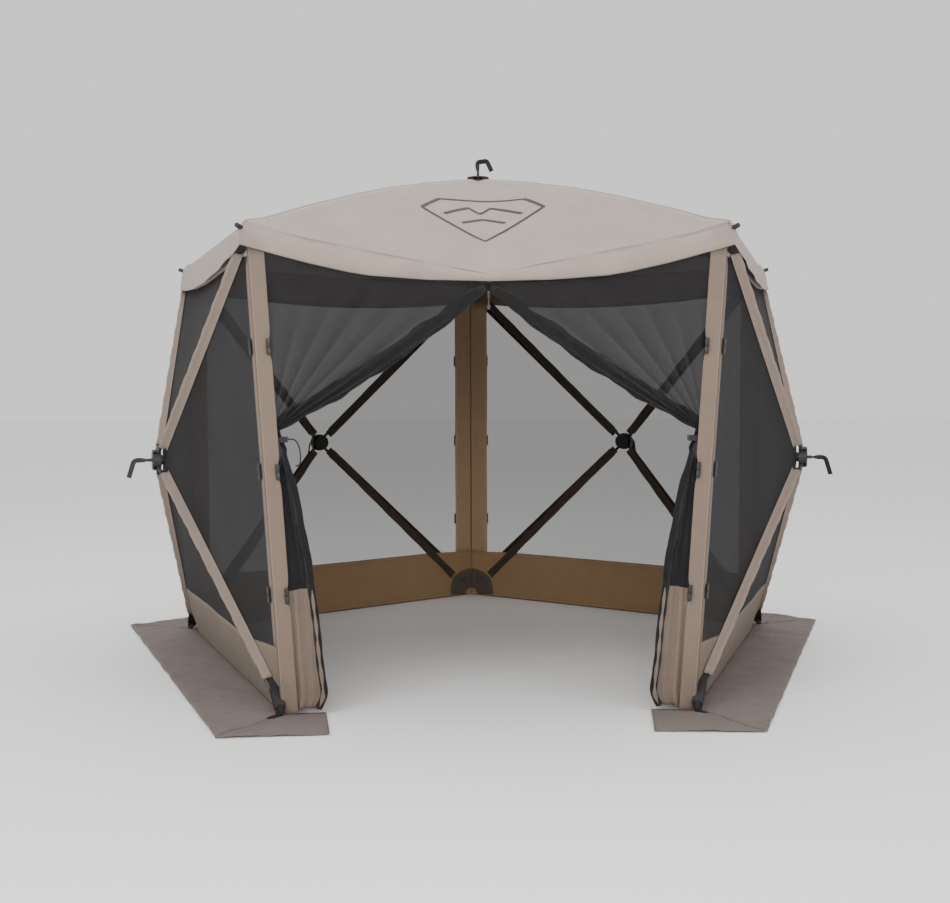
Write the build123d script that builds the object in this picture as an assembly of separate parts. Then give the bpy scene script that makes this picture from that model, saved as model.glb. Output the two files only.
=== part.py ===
from build123d import *
import math
import os

os.makedirs("parts", exist_ok=True)

# Five-sided pop-up screen shelter. Millimetres, +Z up, the door faces -Y.
# Four walls and the roof each carry a hub with hinged poles that is popped out
# past flat. The front wall is an open door with no hub.

# ---- driving dimensions ------------------------------------------------
PLAN_R = 1480.0          # plan: centre to corner seam
EAVE = 1776.0            # height of the wall and roof seam
APEX = 2131.0            # height of the roof cloth at the middle
WALL_POP = 234.0         # how far a wall hub stands out from the flat wall
ROOF_POP = 330.0         # how far the roof hub stands above the roof corners
TOE_IN = 111.0           # bottom front corners stand this much nearer the middle
CORNER_TOP = 1756.0      # height of the top corner fittings
CORNER_BOTTOM = 30.0     # height of the bottom corner fittings
SKIRT_R = 1826.0         # plan: centre to the skirt's outer corner
SKIRT_FRONT_X = 946.0    # the skirt's front corners
SKIRT_T = 2.0            # ground skirt thickness
CLOTH_T = 1.5            # cloth thickness
CLOTH_IN = 12.0          # wall cloth lies this far inside the pole centre lines
BAND_W = 100.0           # corner band, each side of the seam
FRONT_BAND_SIDE = 42.0   # front corner band, on the side wall
FRONT_BAND_DOOR = 62.0   # front corner band, in the door plane
ROD_R = 5.5              # fibreglass rod
TIP_R = 6.5              # cap on the rod's outer end
WALL_TIP = 56.0          # wall pole end to corner centre
TOED_TIP = 84.0          # the same at the two feet that lean in, where the pole slips further
FORK = 100.0             # wall fork length
TOED_FORK = 128.0        # fork length at the feet that lean in
ROOF_TIP = 80.0          # roof pole end to corner centre
KNUCKLE_W = 12.0         # eye at the rod's inner end
SLOT_W = 12.7            # hub slot
PIN_R = 2.5              # hub pin
PIN_CLEAR = 0.05         # running clearance in the knuckle
WALL_PIN_AT = 30.0       # pin distance from the wall hub's middle
ROOF_PIN_AT = 48.0       # pin distance from the roof hub's middle
HUB_H = 30.0             # hub core thickness
STRAP_W = 24.0           # pull strap width
STRAP_T = 4.0            # pull strap thickness
BAR_R = 3.5              # strap bar on the hub cap
STAKE_R = 6.0            # stake hole radius
DOOR_MEET_Z = 1540.0     # height where the two door halves part
TIE_Z = 1006.0           # height of the door ties

# ---- plan --------------------------------------------------------------
ANG = {"fl": -126.0, "fr": -54.0, "r": 18.0, "b": 90.0, "l": 162.0}
FRONT_Y0 = PLAN_R * math.sin(math.radians(-54.0))
SKIRT_FRONT_Y0 = SKIRT_R * math.sin(math.radians(-54.0))
# the origin is under the middle of the whole footprint
YC = -(SKIRT_R + SKIRT_FRONT_Y0) / 2.0
FRONT_Y = FRONT_Y0 + YC


def plan(key, z, r=PLAN_R):
    a = math.radians(ANG[key])
    return Vector(r * math.cos(a), r * math.sin(a) + YC, z)


def base(key, z):
    """Corner seam at height z, with the front corners leaning in to the foot."""
    p = plan(key, z)
    if key in ("fl", "fr"):
        s = 1.0 if key == "fl" else -1.0
        p = p + Vector(s * TOE_IN * (1.0 - z / EAVE), 0, 0)
    return p


def unit(v):
    return v.normalized()


def place(shape, origin, x_dir, z_dir):
    return Plane(origin=origin, x_dir=x_dir, z_dir=z_dir).location * shape


def rod(a, b, r):
    """Solid round bar from a to b."""
    d = b - a
    pl = Plane(origin=a, z_dir=unit(d))
    return extrude(pl * Circle(r), amount=d.length)


def save(shapes, name):
    shapes = [s for s in (shapes if isinstance(shapes, (list, tuple)) else [shapes])]
    solids = []
    for s in shapes:
        solids += list(s.solids())
    out = solids[0] if len(solids) == 1 else Compound(children=solids)
    out.label = name
    export_step(out, f"parts/{name}.step")


def plate(points, normal, lo, hi, inset=0.0, holes=()):
    """Flat plate from a planar polygon: lo to hi along normal, pulled in by inset."""
    o = points[0]
    x = unit(points[1] - points[0])
    pl = Plane(origin=o, x_dir=x, z_dir=normal)
    pts = [pl.to_local_coords(p) for p in points]
    pts = [(p.X, p.Y) for p in pts]
    area = sum(a[0] * b[1] - b[0] * a[1] for a, b in zip(pts, pts[1:] + pts[:1]))
    if area < 0:
        pts = pts[::-1]
    if inset:
        n = len(pts)
        lines = []
        for i in range(n):
            (x0, y0), (x1, y1) = pts[i], pts[(i + 1) % n]
            L = math.hypot(x1 - x0, y1 - y0)
            nx, ny = -(y1 - y0) / L, (x1 - x0) / L
            lines.append((nx, ny, nx * x0 + ny * y0 + inset))
        new = []
        for i in range(n):
            a1, b1, c1 = lines[i - 1]
            a2, b2, c2 = lines[i]
            det = a1 * b2 - a2 * b1
            new.append(((c1 * b2 - c2 * b1) / det, (a1 * c2 - a2 * c1) / det))
        pts = new
    face = make_face(Polyline(*[(p[0], p[1], 0) for p in pts], close=True))
    body = extrude(face, amount=hi - lo).moved(Location((0, 0, lo)))
    for h in holes:
        q = pl.to_local_coords(h[0])
        body -= Location((q.X, q.Y, (lo + hi) / 2)) * Cylinder(h[1], 4 * (hi - lo))
    return pl.location * body


# ---- walls: (name, first corner, second corner) --------------------------
WALLS = {
    "left": ("l", "fl"),
    "right": ("fr", "r"),
    "back_left": ("b", "l"),
    "back_right": ("r", "b"),
}
# what the two ends of each wall are called on its poles
ENDS = {
    "left": ("back", "front"),
    "right": ("front", "back"),
    "back_left": ("inner", "outer"),
    "back_right": ("outer", "inner"),
}
HUB_Z = (CORNER_TOP + CORNER_BOTTOM) / 2.0
forks = {}               # corner -> [(direction, side, length, half height)]
motion = []              # what the record needs, printed at the end


def hub_core(phis, pin_at, radius):
    """Moulded hub: a slotted disc, a neck and a flange that holds the cloth."""
    core = Cylinder(radius, HUB_H)
    core = fillet(core.edges(), 2.0)
    for phi in phis:
        c, s = math.cos(phi), math.sin(phi)
        slot_in = pin_at - 14.0
        length = radius + 6.0 - slot_in
        slot = Location(((slot_in + length / 2) * c, (slot_in + length / 2) * s, 0), (0, 0, math.degrees(phi))) * Box(length, SLOT_W, HUB_H + 4)
        core -= slot
    for phi in phis:
        c, s = math.cos(phi), math.sin(phi)
        hole = Plane(origin=(pin_at * c, pin_at * s, 0), z_dir=(-s, c, 0)).location * Cylinder(PIN_R + 0.02, 40.4)
        core -= hole
    return core


def hub_pins(phis, pin_at):
    pins = []
    for phi in phis:
        c, s = math.cos(phi), math.sin(phi)
        pins.append(Plane(origin=(pin_at * c, pin_at * s, 0), z_dir=(-s, c, 0)).location * Cylinder(PIN_R, 40.0))
    return pins


def pole(pin, axis, target, gap):
    """Rod with an eye on the hub pin and a cap at the outer end."""
    d = unit(target - pin)
    end = target - d * gap
    eye = place(Cylinder(9.0, KNUCKLE_W), pin, d, axis)
    socket = rod(pin + d * 6.0, pin + d * 52.0, 8.0)
    # the ferrule is flattened to the eye's width where it runs in the slot
    flats = Plane(origin=pin + d * 29.0, x_dir=d, z_dir=axis).location * Box(60.0, 40.0, KNUCKLE_W)
    eye = (eye + socket) & flats
    eye -= place(Cylinder(PIN_R + PIN_CLEAR, KNUCKLE_W + 4), pin, d, axis)
    eye -= rod(pin + d * 22.0, pin + d * 60.0, ROD_R + 0.04)
    bar = rod(pin + d * 22.0, end - d * 6.0, ROD_R)
    cap = rod(end - d * 46.0, end, TIP_R)
    cap = fillet(cap.edges().sort_by(Axis(pin, d))[-1:], 4.0)
    cap -= rod(end - d * 50.0, end - d * 6.0, ROD_R + 0.04)
    return [bar, eye, cap], end


def strap(kind):
    """Pull strap, eye on the local X axis at the origin, leaving along +Z."""
    tube = Rotation(0, 90, 0) * (Cylinder(BAR_R + 2.9, STRAP_W) - Cylinder(BAR_R + 0.05, STRAP_W + 2))
    if kind == "drop":
        line = FilletPolyline((0, 0, 5.5), (0, 0, 60.0), (0, -72.0, 82.0), radius=20.0)
        web = sweep(Plane(origin=line @ 0, x_dir=(1, 0, 0), z_dir=line % 0) * Rectangle(STRAP_W, STRAP_T), path=line)
    else:
        line = FilletPolyline((0, 0, 5.5), (0, 4.0, 54.0), (0, -40.0, 60.0), (0, -62.0, 14.0), radius=13.0)
        web = sweep(Plane(origin=line @ 0, x_dir=(1, 0, 0), z_dir=line % 0) * Rectangle(STRAP_W, STRAP_T), path=line)
    clear = Rotation(0, 90, 0) * Cylinder(BAR_R + 0.05, STRAP_W + 6)
    return (tube + web) - clear


def hub_cap(radius, z0, bar_z):
    """Outer cap with a raised bar for the pull strap, bar along local X."""
    cap = Location((0, 0, z0 + 2.5)) * Cylinder(radius, 5.0)
    cap = fillet(cap.edges().sort_by(Axis.Z)[-1:], 2.0)
    for s in (-1, 1):
        post = Location((s * (STRAP_W / 2 + 4.0), 0, (z0 + 5 + bar_z) / 2 + 1)) * Box(6.0, 12.0, bar_z - z0 - 5 + 10)
        cap += post
    cap += Location((0, 0, bar_z)) * (Rotation(0, 90, 0) * Cylinder(BAR_R, STRAP_W + 4))
    return cap


for name, (ka, kb) in WALLS.items():
    A, B = plan(ka, HUB_Z), plan(kb, HUB_Z)
    M = (A + B) * 0.5
    n = unit(Vector(M.X, M.Y - YC, 0))
    t = unit(B - A)
    H = M + n * WALL_POP
    y_loc = n.cross(t)
    up = 1.0 if y_loc.Z > 0 else -1.0
    hub_plane = Plane(origin=H, x_dir=t, z_dir=n)

    targets = []
    for end, key in enumerate((ka, kb)):
        for level, z in (("top", CORNER_TOP), ("bottom", CORNER_BOTTOM)):
            corner = plan(key, z) if level == "top" else base(key, z)
            targets.append((f"{name}_pole_{level}_{ENDS[name][end]}", key, level, corner))
    phis = []
    for pname, key, level, T in targets:
        q = hub_plane.to_local_coords(T)
        phi = math.atan2(q.Y, q.X)
        phis.append(phi)
        u = unit(t * math.cos(phi) + y_loc * math.sin(phi))
        pin = H + u * WALL_PIN_AT
        axis = unit(u.cross(n))
        toed = level == "bottom" and key in ("fl", "fr")
        parts, end = pole(pin, axis, T, TOED_TIP if toed else WALL_TIP)
        save(parts, pname)
        # swing from rest to the popped-in place, about u x n
        rho = math.hypot(q.X, q.Y) - WALL_PIN_AT
        th0 = math.atan2(q.Z, rho)
        th1 = math.atan2(q.Z + 2 * WALL_POP, rho)
        motion.append((name, pname, pin, axis, n * -1, 2 * WALL_POP, th1 - th0))
        mid = (th0 + th1) / 2
        forks.setdefault((key, level), []).append(
            (unit(u * -math.cos(mid) + n * math.sin(-mid)), axis, TOED_FORK if toed else FORK, 20.0)
        )

    core = hub_core(phis, WALL_PIN_AT, 44.0)
    core += Location((0, 0, -HUB_H / 2 - 9)) * Cylinder(20.0, 18.4)
    core += Location((0, 0, -HUB_H / 2 - 21)) * Cylinder(38.0, 6.0)
    save(hub_plane.location * core, f"{name}_hub")
    save([hub_plane.location * p for p in hub_pins(phis, WALL_PIN_AT)], f"{name}_hub_pins")
    save(hub_plane.location * hub_cap(42.0, HUB_H / 2 + 0.05, 34.0), f"{name}_hub_cap")
    # strap: local Y of the strap is up
    bar = H + n * 34.0
    sp = Plane(origin=bar, x_dir=Vector(0, 0, 1).cross(n), z_dir=n)
    save(sp.location * strap("drop"), f"{name}_pull_strap")
    motion.append((name, f"{name}_pull_strap", bar, Vector(0, 0, 1).cross(n), None, 0, 0))

# ---- roof hub ------------------------------------------------------------
RH = Vector(0, YC, CORNER_TOP + ROOF_POP)
roof_names = {"fl": "front_left", "fr": "front_right", "r": "right", "b": "back", "l": "left"}
phis = []
for key, rn in roof_names.items():
    T = plan(key, CORNER_TOP)
    a = math.radians(ANG[key])
    phis.append(a)
    u = Vector(math.cos(a), math.sin(a), 0)
    pin = RH + u * ROOF_PIN_AT
    axis = unit(u.cross(Vector(0, 0, 1)))
    parts, end = pole(pin, axis, T, ROOF_TIP)
    save(parts, f"roof_pole_{rn}")
    rho = PLAN_R - ROOF_PIN_AT
    th = math.atan2(ROOF_POP, rho)
    motion.append(("roof", f"roof_pole_{rn}", pin, axis, Vector(0, 0, -1), 2 * ROOF_POP, 2 * th))
    forks.setdefault((key, "top"), []).append((u * -1, axis, 125.0, 24.0))
core = hub_core(phis, ROOF_PIN_AT, 64.0)
neck_top = APEX + 3.0
core += Location((0, 0, HUB_H / 2 + (neck_top - RH.Z - HUB_H / 2) / 2 - 0.2)) * Cylinder(20.0, neck_top - RH.Z - HUB_H / 2 + 0.4)
save(Location(tuple(RH)) * core, "roof_hub")
save([Location(tuple(RH)) * p for p in hub_pins(phis, ROOF_PIN_AT)], "roof_hub_pins")
rcap = Rotation(0, 0, 90) * hub_cap(50.0, 0.05, 19.0)
save(Location((0, YC, neck_top)) * rcap, "roof_hub_cap")
bar = Vector(0, YC, neck_top + 19.0)
sp = Plane(origin=bar, x_dir=Vector(0, 1, 0), z_dir=Vector(0, 0, 1))
save(sp.location * strap("loop"), "roof_pull_strap")
motion.append(("roof", "roof_pull_strap", bar, Vector(0, 1, 0), None, 0, 0))

# ---- corner fittings: a ball with a fork for each pole ---------------------
def fitting(key, level):
    z = CORNER_TOP if level == "top" else CORNER_BOTTOM
    V = base(key, z) if level == "bottom" else plan(key, z)
    body = Pos(*tuple(V)) * Cylinder(14.0, 28.0)
    a = math.radians(ANG[key])
    out = Vector(math.cos(a), math.sin(a), 0)
    for d, side, length, hh in forks[(key, level)]:
        hdir = unit(side.cross(d))
        for s in (-1, 1):
            c = V + d * (length / 2) + side * (s * (TIP_R + 0.5 + 1.5))
            cheek = Box(length, 2 * hh, 3.0)
            cheek = fillet(cheek.edges().filter_by(Axis.Z).sort_by(Axis.X)[-2:], 12.0)
            body += Plane(origin=c, x_dir=d, z_dir=side).location * cheek
        web = Plane(origin=V + d * 9.0, x_dir=d, z_dir=side).location * Box(18.0, 2 * hh - 8, 20.0)
        body += web
    if level == "top":
        tilt = unit(out + Vector(0, 0, 0.35))
        nub = rod(V + tilt * 6.0, V + tilt * 44.0, 9.0)
        body += fillet(nub.edges().sort_by(Axis(V, tilt))[-1:], 5.0)
    else:
        # flat lug for a ground stake
        L = 52.0
        lug = Location((L / 2, 0, 0)) * Box(L, 26.0, 4.0)
        lug += Location((L, 0, 0)) * Cylinder(13.0, 4.0)
        lug -= Location((L, 0, 0)) * Cylinder(STAKE_R, 10.0)
        stem = Location((8.0, 0, 8.0)) * Box(16.0, 18.0, 20.0)
        piece = lug + stem
        foot = Vector(V.X, V.Y, 7.0)
        body += Plane(origin=foot, x_dir=out, z_dir=(0, 0, 1)).location * piece
    return body


tops, bottoms = [], []
for key in ANG:
    tops.append(fitting(key, "top"))
    bottoms.append(fitting(key, "bottom"))
save(tops, "top_corner_fittings")
save(bottoms, "bottom_corner_fittings")

# ---- wall cloth: four gores to each wall, meeting along the pole lines ------
bands, patches, toggles = [], [], []
for name, (ka, kb) in WALLS.items():
    c_at, c_bt = plan(ka, EAVE), plan(kb, EAVE)
    c_ab, c_bb = base(ka, 0), base(kb, 0)
    M = (plan(ka, HUB_Z) + plan(kb, HUB_Z)) * 0.5
    n = unit(Vector(M.X, M.Y - YC, 0))
    H = M + n * WALL_POP
    gores = []
    for p, q in ((c_at, c_bt), (c_bt, c_bb), (c_bb, c_ab), (c_ab, c_at)):
        e = unit(q - p)
        nn = unit((q - p).cross(H - p))
        if nn.dot(n) < 0:
            nn = nn * -1
        pts = [p + e * 170, q - e * 170, q + unit(H - q) * 170, H + unit(q - H) * 52, H + unit(p - H) * 52, p + unit(H - p) * 170]
        gores.append(plate(pts, nn, -CLOTH_IN - CLOTH_T, -CLOTH_IN, inset=6.5))
        if abs(e.Z) > 0.5:
            # corner band on the outside of the side gores, and its toggles
            lo, hi = (p, q) if p.Z < q.Z else (q, p)
            ev = unit(hi - lo)
            w = unit(H - lo - ev * (H - lo).dot(ev))
            b0, b1 = lo + ev * 135, hi - ev * 135
            front = math.hypot(lo.X - base("fl", 0).X, lo.Y - base("fl", 0).Y) < 1 or math.hypot(lo.X - base("fr", 0).X, lo.Y - base("fr", 0).Y) < 1
            bw = FRONT_BAND_SIDE if front else BAND_W
            bands.append(plate([b0 + w * 6.5, b1 + w * 6.5, b1 + w * bw, b0 + w * bw], nn, -CLOTH_IN + 0.4, -CLOTH_IN + 1.6))
            for tz in (1340.0, 890.0, 440.0):
                c = lo + ev * ((tz - lo.Z) / ev.Z) + w * (bw - 7) + nn * (-CLOTH_IN + 1.8 + 4.0)
                toggles.append(Plane(origin=c, x_dir=w, z_dir=nn).location * Box(16.0, 58.0, 8.0))
        elif e.Z == 0 and p.Z < 10:
            # quarter-round patches inside the bottom corners
            for o, d in ((p, e), (q, e * -1)):
                arc = [o + d * 30 + Vector(0, 0, 0)]
                w = unit(H - o - d * (H - o).dot(d))
                r_p = 150.0
                arc = [o + d * 40 + w * 14, o + d * r_p + w * 14]
                for k in range(1, 5):
                    a = math.radians(90.0 * k / 8.0)
                    arc.append(o + d * (r_p * math.cos(a)) + w * (14 + (r_p - 14) * math.sin(a)))
                patches.append(plate(arc, nn, -CLOTH_IN - CLOTH_T - 1.6, -CLOTH_IN - CLOTH_T - 0.4, inset=1.0))
    save(gores, f"{name}_wall")

# the front half of each front corner band, in the plane of the door
for s, key in ((-1, "fl"), (1, "fr")):
    lo, hi = base(key, 0), base(key, EAVE)
    ev = unit(hi - lo)
    w = unit(Vector(-s, 0, 0) - ev * Vector(-s, 0, 0).dot(ev))
    b0, b1 = lo + ev * 135, hi - ev * 110
    nn = Vector(0, -1, 0)
    bands.append(plate([b0 + w * 16, b1 + w * 16, b1 + w * FRONT_BAND_DOOR, b0 + w * FRONT_BAND_DOOR], nn, -CLOTH_IN + 0.4, -CLOTH_IN + 1.6))
    for tz in (1340.0, 890.0, 440.0):
        c = lo + ev * ((tz - lo.Z) / ev.Z) + w * (FRONT_BAND_DOOR - 7) + nn * (-CLOTH_IN + 1.8 + 4.0)
        toggles.append(Plane(origin=c, x_dir=w, z_dir=nn).location * Box(16.0, 58.0, 8.0))
save(bands, "corner_bands")
save(toggles, "corner_toggles")
save(patches, "corner_patches")

# ---- roof cloth: five gores and the sagging brim over the door ---------------
order = ["fl", "fr", "r", "b", "l"]
top = Vector(0, YC, APEX)
gores = []
for i, k in enumerate(order):
    p, q = plan(k, EAVE), plan(order[(i + 1) % 5], EAVE)
    e = unit(q - p)
    nn = unit((q - p).cross(top - p))
    if nn.Z < 0:
        nn = nn * -1
    pts = [p + e * 60, q - e * 60, q + unit(top - q) * 60, top + unit(q - top) * 30, top + unit(p - top) * 30, p + unit(top - p) * 60]
    gores.append(plate(pts, nn, 0.0, CLOTH_T, inset=0.6))
brim = [Vector(-826, FRONT_Y, EAVE - 4), Vector(826, FRONT_Y, EAVE - 4), Vector(826, FRONT_Y, 1684)]
for x, z in ((670, 1641), (460, 1595), (230, 1578), (0, 1573), (-230, 1578), (-460, 1595), (-670, 1641), (-826, 1684)):
    brim.append(Vector(x, FRONT_Y, z))
gores.append(plate(brim, Vector(0, -1, 0), 0.0, CLOTH_T))
save(gores, "roof_canopy")

# ---- ground skirt, split at the door -----------------------------------------
def ground(pts, name=None):
    return plate([Vector(x, y, 0) for x, y in pts], Vector(0, 0, 1), 0.0, SKIRT_T, inset=1.0)


def outer(key):
    if key in ("fl", "fr"):
        s = -1.0 if key == "fl" else 1.0
        return (s * SKIRT_FRONT_X, SKIRT_FRONT_Y0 + YC)
    p = plan(key, 0, SKIRT_R)
    return (p.X, p.Y)


def inner(key):
    p = base(key, 0)
    return (p.X, p.Y)


skirts = []
for name, (ka, kb) in WALLS.items():
    skirts.append(ground([inner(ka), inner(kb), outer(kb), outer(ka)]))
for s, key in ((-1, "fl"), (1, "fr")):
    ix, iy = inner(key)
    ox, oy = outer(key)
    flap = [(ix, iy), (ox, oy), (s * 560.0, oy + 26.0), (s * 600.0, iy + 20.0)]
    skirts.append(ground(flap))
save(skirts, "ground_skirt")

# ---- door halves, tied back to the front corners -----------------------------
for s, name in ((-1, "left"), (1, "right")):
    key = "fl" if s < 0 else "fr"
    yb = FRONT_Y + CLOTH_IN

    def post(z):
        return base(key, z).X - s * 26.0

    upper = [(post(1690), 1690), (s * 6.0, 1690), (s * 6.0, DOOR_MEET_Z), (s * 770.0, TIE_Z + 34), (post(TIE_Z + 34), TIE_Z + 34)]
    sheet = plate([Vector(x, yb, z) for x, z in upper], Vector(0, -1, 0), -CLOTH_T, 0.0)
    lower = [(post(TIE_Z - 30), TIE_Z - 30), (s * 735.0, TIE_Z - 30), (s * 690.0, 790), (s * 655.0, 570), (s * 600.0, 110), (s * 585.0, 8), (post(8), 8)]
    drape = plate([Vector(x, yb + 22, z) for x, z in lower], Vector(0, -1, 0), -22.0, 14.0)
    neck = [(post(TIE_Z + 33), TIE_Z + 33), (s * 768.0, TIE_Z + 33), (s * 737.0, TIE_Z - 29), (post(TIE_Z - 29), TIE_Z - 29)]
    gather = plate([Vector(x, yb + 22, z) for x, z in neck], Vector(0, -1, 0), -10.0, 14.0)
    save([sheet, drape, gather], f"door_{name}")

# ---- door ties: a webbing band round each gathered half -----------------------
ties = []
for s, key in ((-1, "fl"), (1, "fr")):
    px = base(key, TIE_Z).X
    x0, x1 = px - s * 24.0, s * 735.0
    lo, hi = min(x0, x1), max(x0, x1)
    cx, w = (lo + hi) / 2, hi - lo + 14.0
    yb = FRONT_Y + CLOTH_IN
    yc = yb + 22 - 2.0
    ring = Box(w, 33.0, 20.0) - Box(w - 5.0, 28.0, 24.0)
    ring = Location((cx, yc, TIE_Z)) * ring
    peg = Location((cx + s * 2.0, yc + 21.2, TIE_Z)) * (Rotation(0, 90, 0) * Cylinder(4.5, 34.0))
    ties += [ring, peg]
save(ties, "door_ties")

# ---- zip slider and its pull, where the two door halves meet -------------------
zs = Vector(0, FRONT_Y + CLOTH_IN - 6.0, DOOR_MEET_Z - 14.0)
body = fillet(Box(11.0, 8.0, 22.0).edges().filter_by(Axis.Z), 2.0)
ear = Location((0, -8.0, 2.0)) * Box(9.0, 9.0, 7.0)
ear -= Location((0, -8.0, 2.0)) * Box(4.6, 12.0, 12.0)
pin = Location((0, -9.0, 2.0)) * (Rotation(0, 90, 0) * Cylinder(1.3, 8.6))
save(Location(tuple(zs)) * (body + ear + pin), "door_zip_slider")
tab = Rotation(0, 90, 0) * Cylinder(3.2, 4.0)
tab += Location((0, 0, -22.0)) * Box(4.0, 2.4, 40.0)
tab += Location((0, 0, -48.0)) * Box(11.0, 2.4, 16.0)
tab -= Rotation(0, 90, 0) * Cylinder(1.35, 8.0)
zp = zs + Vector(0, -9.0, 2.0)
save(Location(tuple(zp)) * tab, "door_zip_pull")
motion.append(("door", "door_zip_pull", zp, Vector(1, 0, 0), None, 0, 0))

# where each moving piece turns: hub, piece, point, axis, the hub's way in,
# the hub's travel and the piece's turn over that travel
for hub_name, piece, at, axis, way, travel, turn in motion:
    vec = lambda v: [round(v.X, 6), round(v.Y, 6), round(v.Z, 6)]
    print("JOINT", hub_name, piece, vec(at), vec(axis), vec(way) if way else None, travel, round(turn, 6))
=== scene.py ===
import bpy
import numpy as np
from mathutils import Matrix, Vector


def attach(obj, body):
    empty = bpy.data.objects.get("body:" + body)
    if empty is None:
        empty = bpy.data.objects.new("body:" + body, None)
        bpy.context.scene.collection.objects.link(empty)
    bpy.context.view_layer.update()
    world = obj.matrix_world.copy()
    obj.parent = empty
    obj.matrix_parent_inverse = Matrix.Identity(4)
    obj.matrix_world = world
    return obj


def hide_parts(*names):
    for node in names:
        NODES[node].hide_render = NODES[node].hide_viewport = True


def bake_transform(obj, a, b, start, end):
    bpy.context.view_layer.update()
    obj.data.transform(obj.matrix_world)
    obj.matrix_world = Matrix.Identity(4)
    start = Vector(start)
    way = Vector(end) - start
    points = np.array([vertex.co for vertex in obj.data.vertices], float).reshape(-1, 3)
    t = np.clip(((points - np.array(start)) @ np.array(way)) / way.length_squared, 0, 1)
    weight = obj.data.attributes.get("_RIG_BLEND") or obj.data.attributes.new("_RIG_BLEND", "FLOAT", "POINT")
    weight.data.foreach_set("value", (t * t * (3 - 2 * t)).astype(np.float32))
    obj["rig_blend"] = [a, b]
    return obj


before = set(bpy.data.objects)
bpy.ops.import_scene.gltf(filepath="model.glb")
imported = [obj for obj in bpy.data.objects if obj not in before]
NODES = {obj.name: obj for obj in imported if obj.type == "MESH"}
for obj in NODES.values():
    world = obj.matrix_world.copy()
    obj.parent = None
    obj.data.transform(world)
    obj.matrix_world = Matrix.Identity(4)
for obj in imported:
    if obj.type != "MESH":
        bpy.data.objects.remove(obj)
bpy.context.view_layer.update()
import bpy, math
import numpy as np
from mathutils import Vector

# ------------------------------------------------------------------ camera
cam_data = bpy.data.cameras.new("camera")
cam = bpy.data.objects.new("camera", cam_data)
bpy.context.scene.collection.objects.link(cam)
bpy.context.scene.camera = cam
pitch, yaw, roll = math.radians(2.97), math.radians(-1.6), math.radians(-0.18)
right = Vector((math.cos(yaw), math.sin(yaw), 0))
fwd = Vector((-math.sin(yaw) * math.cos(pitch), math.cos(yaw) * math.cos(pitch), -math.sin(pitch)))
up = right.cross(fwd)
r2 = right * math.cos(roll) + up * math.sin(roll)
u2 = -right * math.sin(roll) + up * math.cos(roll)
from mathutils import Matrix
m = Matrix.Identity(4)
for i in range(3):
    m[i][0], m[i][1], m[i][2] = r2[i], u2[i], -fwd[i]
m.translation = Vector((-0.17612, -5.860527, 1.19436))
cam.matrix_world = m
cam_data.sensor_width = 36.0
cam_data.lens = 47.217
cam_data.clip_start, cam_data.clip_end = 0.05, 100.0

# ------------------------------------------------------------------ lights and floor
world = bpy.data.worlds.new("studio")
bpy.context.scene.world = world
world.use_nodes = True
world.node_tree.nodes["Background"].inputs[0].default_value = (1.0, 0.99, 0.98, 1)
world.node_tree.nodes["Background"].inputs[1].default_value = 1.02


def area_light(name, at, look, size, watts, colour=(1, 1, 1)):
    d = bpy.data.lights.new(name, "AREA")
    d.shape, d.size, d.size_y, d.energy, d.color = "RECTANGLE", size[0], size[1], watts, colour
    o = bpy.data.objects.new(name, d)
    bpy.context.scene.collection.objects.link(o)
    o.location = at
    o.rotation_euler = (Vector(look) - Vector(at)).to_track_quat("-Z", "Y").to_euler()
    return o


area_light("key", (-3.2, -5.0, 5.2), (0, -0.2, 1.3), (3.2, 2.4), 150)
area_light("door", (-0.2, -6.6, 2.4), (0, 1.0, 0.7), (2.4, 1.6), 130, (1.0, 0.96, 0.90))
area_light("fill", (4.2, -4.6, 3.0), (0, -0.2, 1.0), (3.0, 3.0), 50)
area_light("top", (0.3, 0.8, 5.6), (0, 0, 1.6), (4.0, 4.0), 120)

# ------------------------------------------------------------------ numbers of the real object, metres
PR, EAVE, APEX, POP, RPOP, TOE = 1.480, 1.776, 2.131, 0.234, 0.330, 0.111
CT, CB, SKR, SKF = 1.756, 0.030, 1.826, 0.946
ANG = {"fl": -126.0, "fr": -54.0, "r": 18.0, "b": 90.0, "l": 162.0}
YC = -(SKR + SKR * math.sin(math.radians(-54.0))) / 2.0
FY = PR * math.sin(math.radians(-54.0)) + YC
HZ = (CT + CB) / 2
TIE_Z0 = 1.006
IN = 0.0135
PRC = PR - IN / math.cos(math.radians(36.0))
WALLS = {"left": ("l", "fl"), "right": ("fr", "r"), "back_left": ("b", "l"), "back_right": ("r", "b")}
ENDS = {"left": ("back", "front"), "right": ("front", "back"), "back_left": ("inner", "outer"), "back_right": ("outer", "inner")}
rng = np.random.default_rng(7)


def V(*p):
    return np.array(p, float)


def unit(v):
    return v / np.linalg.norm(v)


def out(k):
    a = math.radians(ANG[k])
    return V(math.cos(a), math.sin(a), 0)


def plan(k, z, r=PR):
    return out(k) * r + V(0, YC, z)


def base(k, z, r=PR):
    p = plan(k, z, r)
    if k in ("fl", "fr"):
        p = p + V((1 if k == "fl" else -1) * TOE * (1 - z / EAVE), 0, 0)
    return p


def smooth(x):
    x = np.clip(x, 0, 1)
    return x * x * (3 - 2 * x)


def noise(p, s, seed=0):
    """Smooth value in about -1..1 at points p, features about s metres."""
    p = np.asarray(p, float)
    v = np.zeros(p.shape[:-1])
    g = np.random.default_rng(100 + seed)
    for _ in range(7):
        k = g.normal(size=3)
        k = k / np.linalg.norm(k) * (2 * math.pi / s) * g.uniform(0.6, 1.5)
        v += np.sin(p @ k + g.uniform(0, 6.28))
    return v / 3.2


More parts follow.
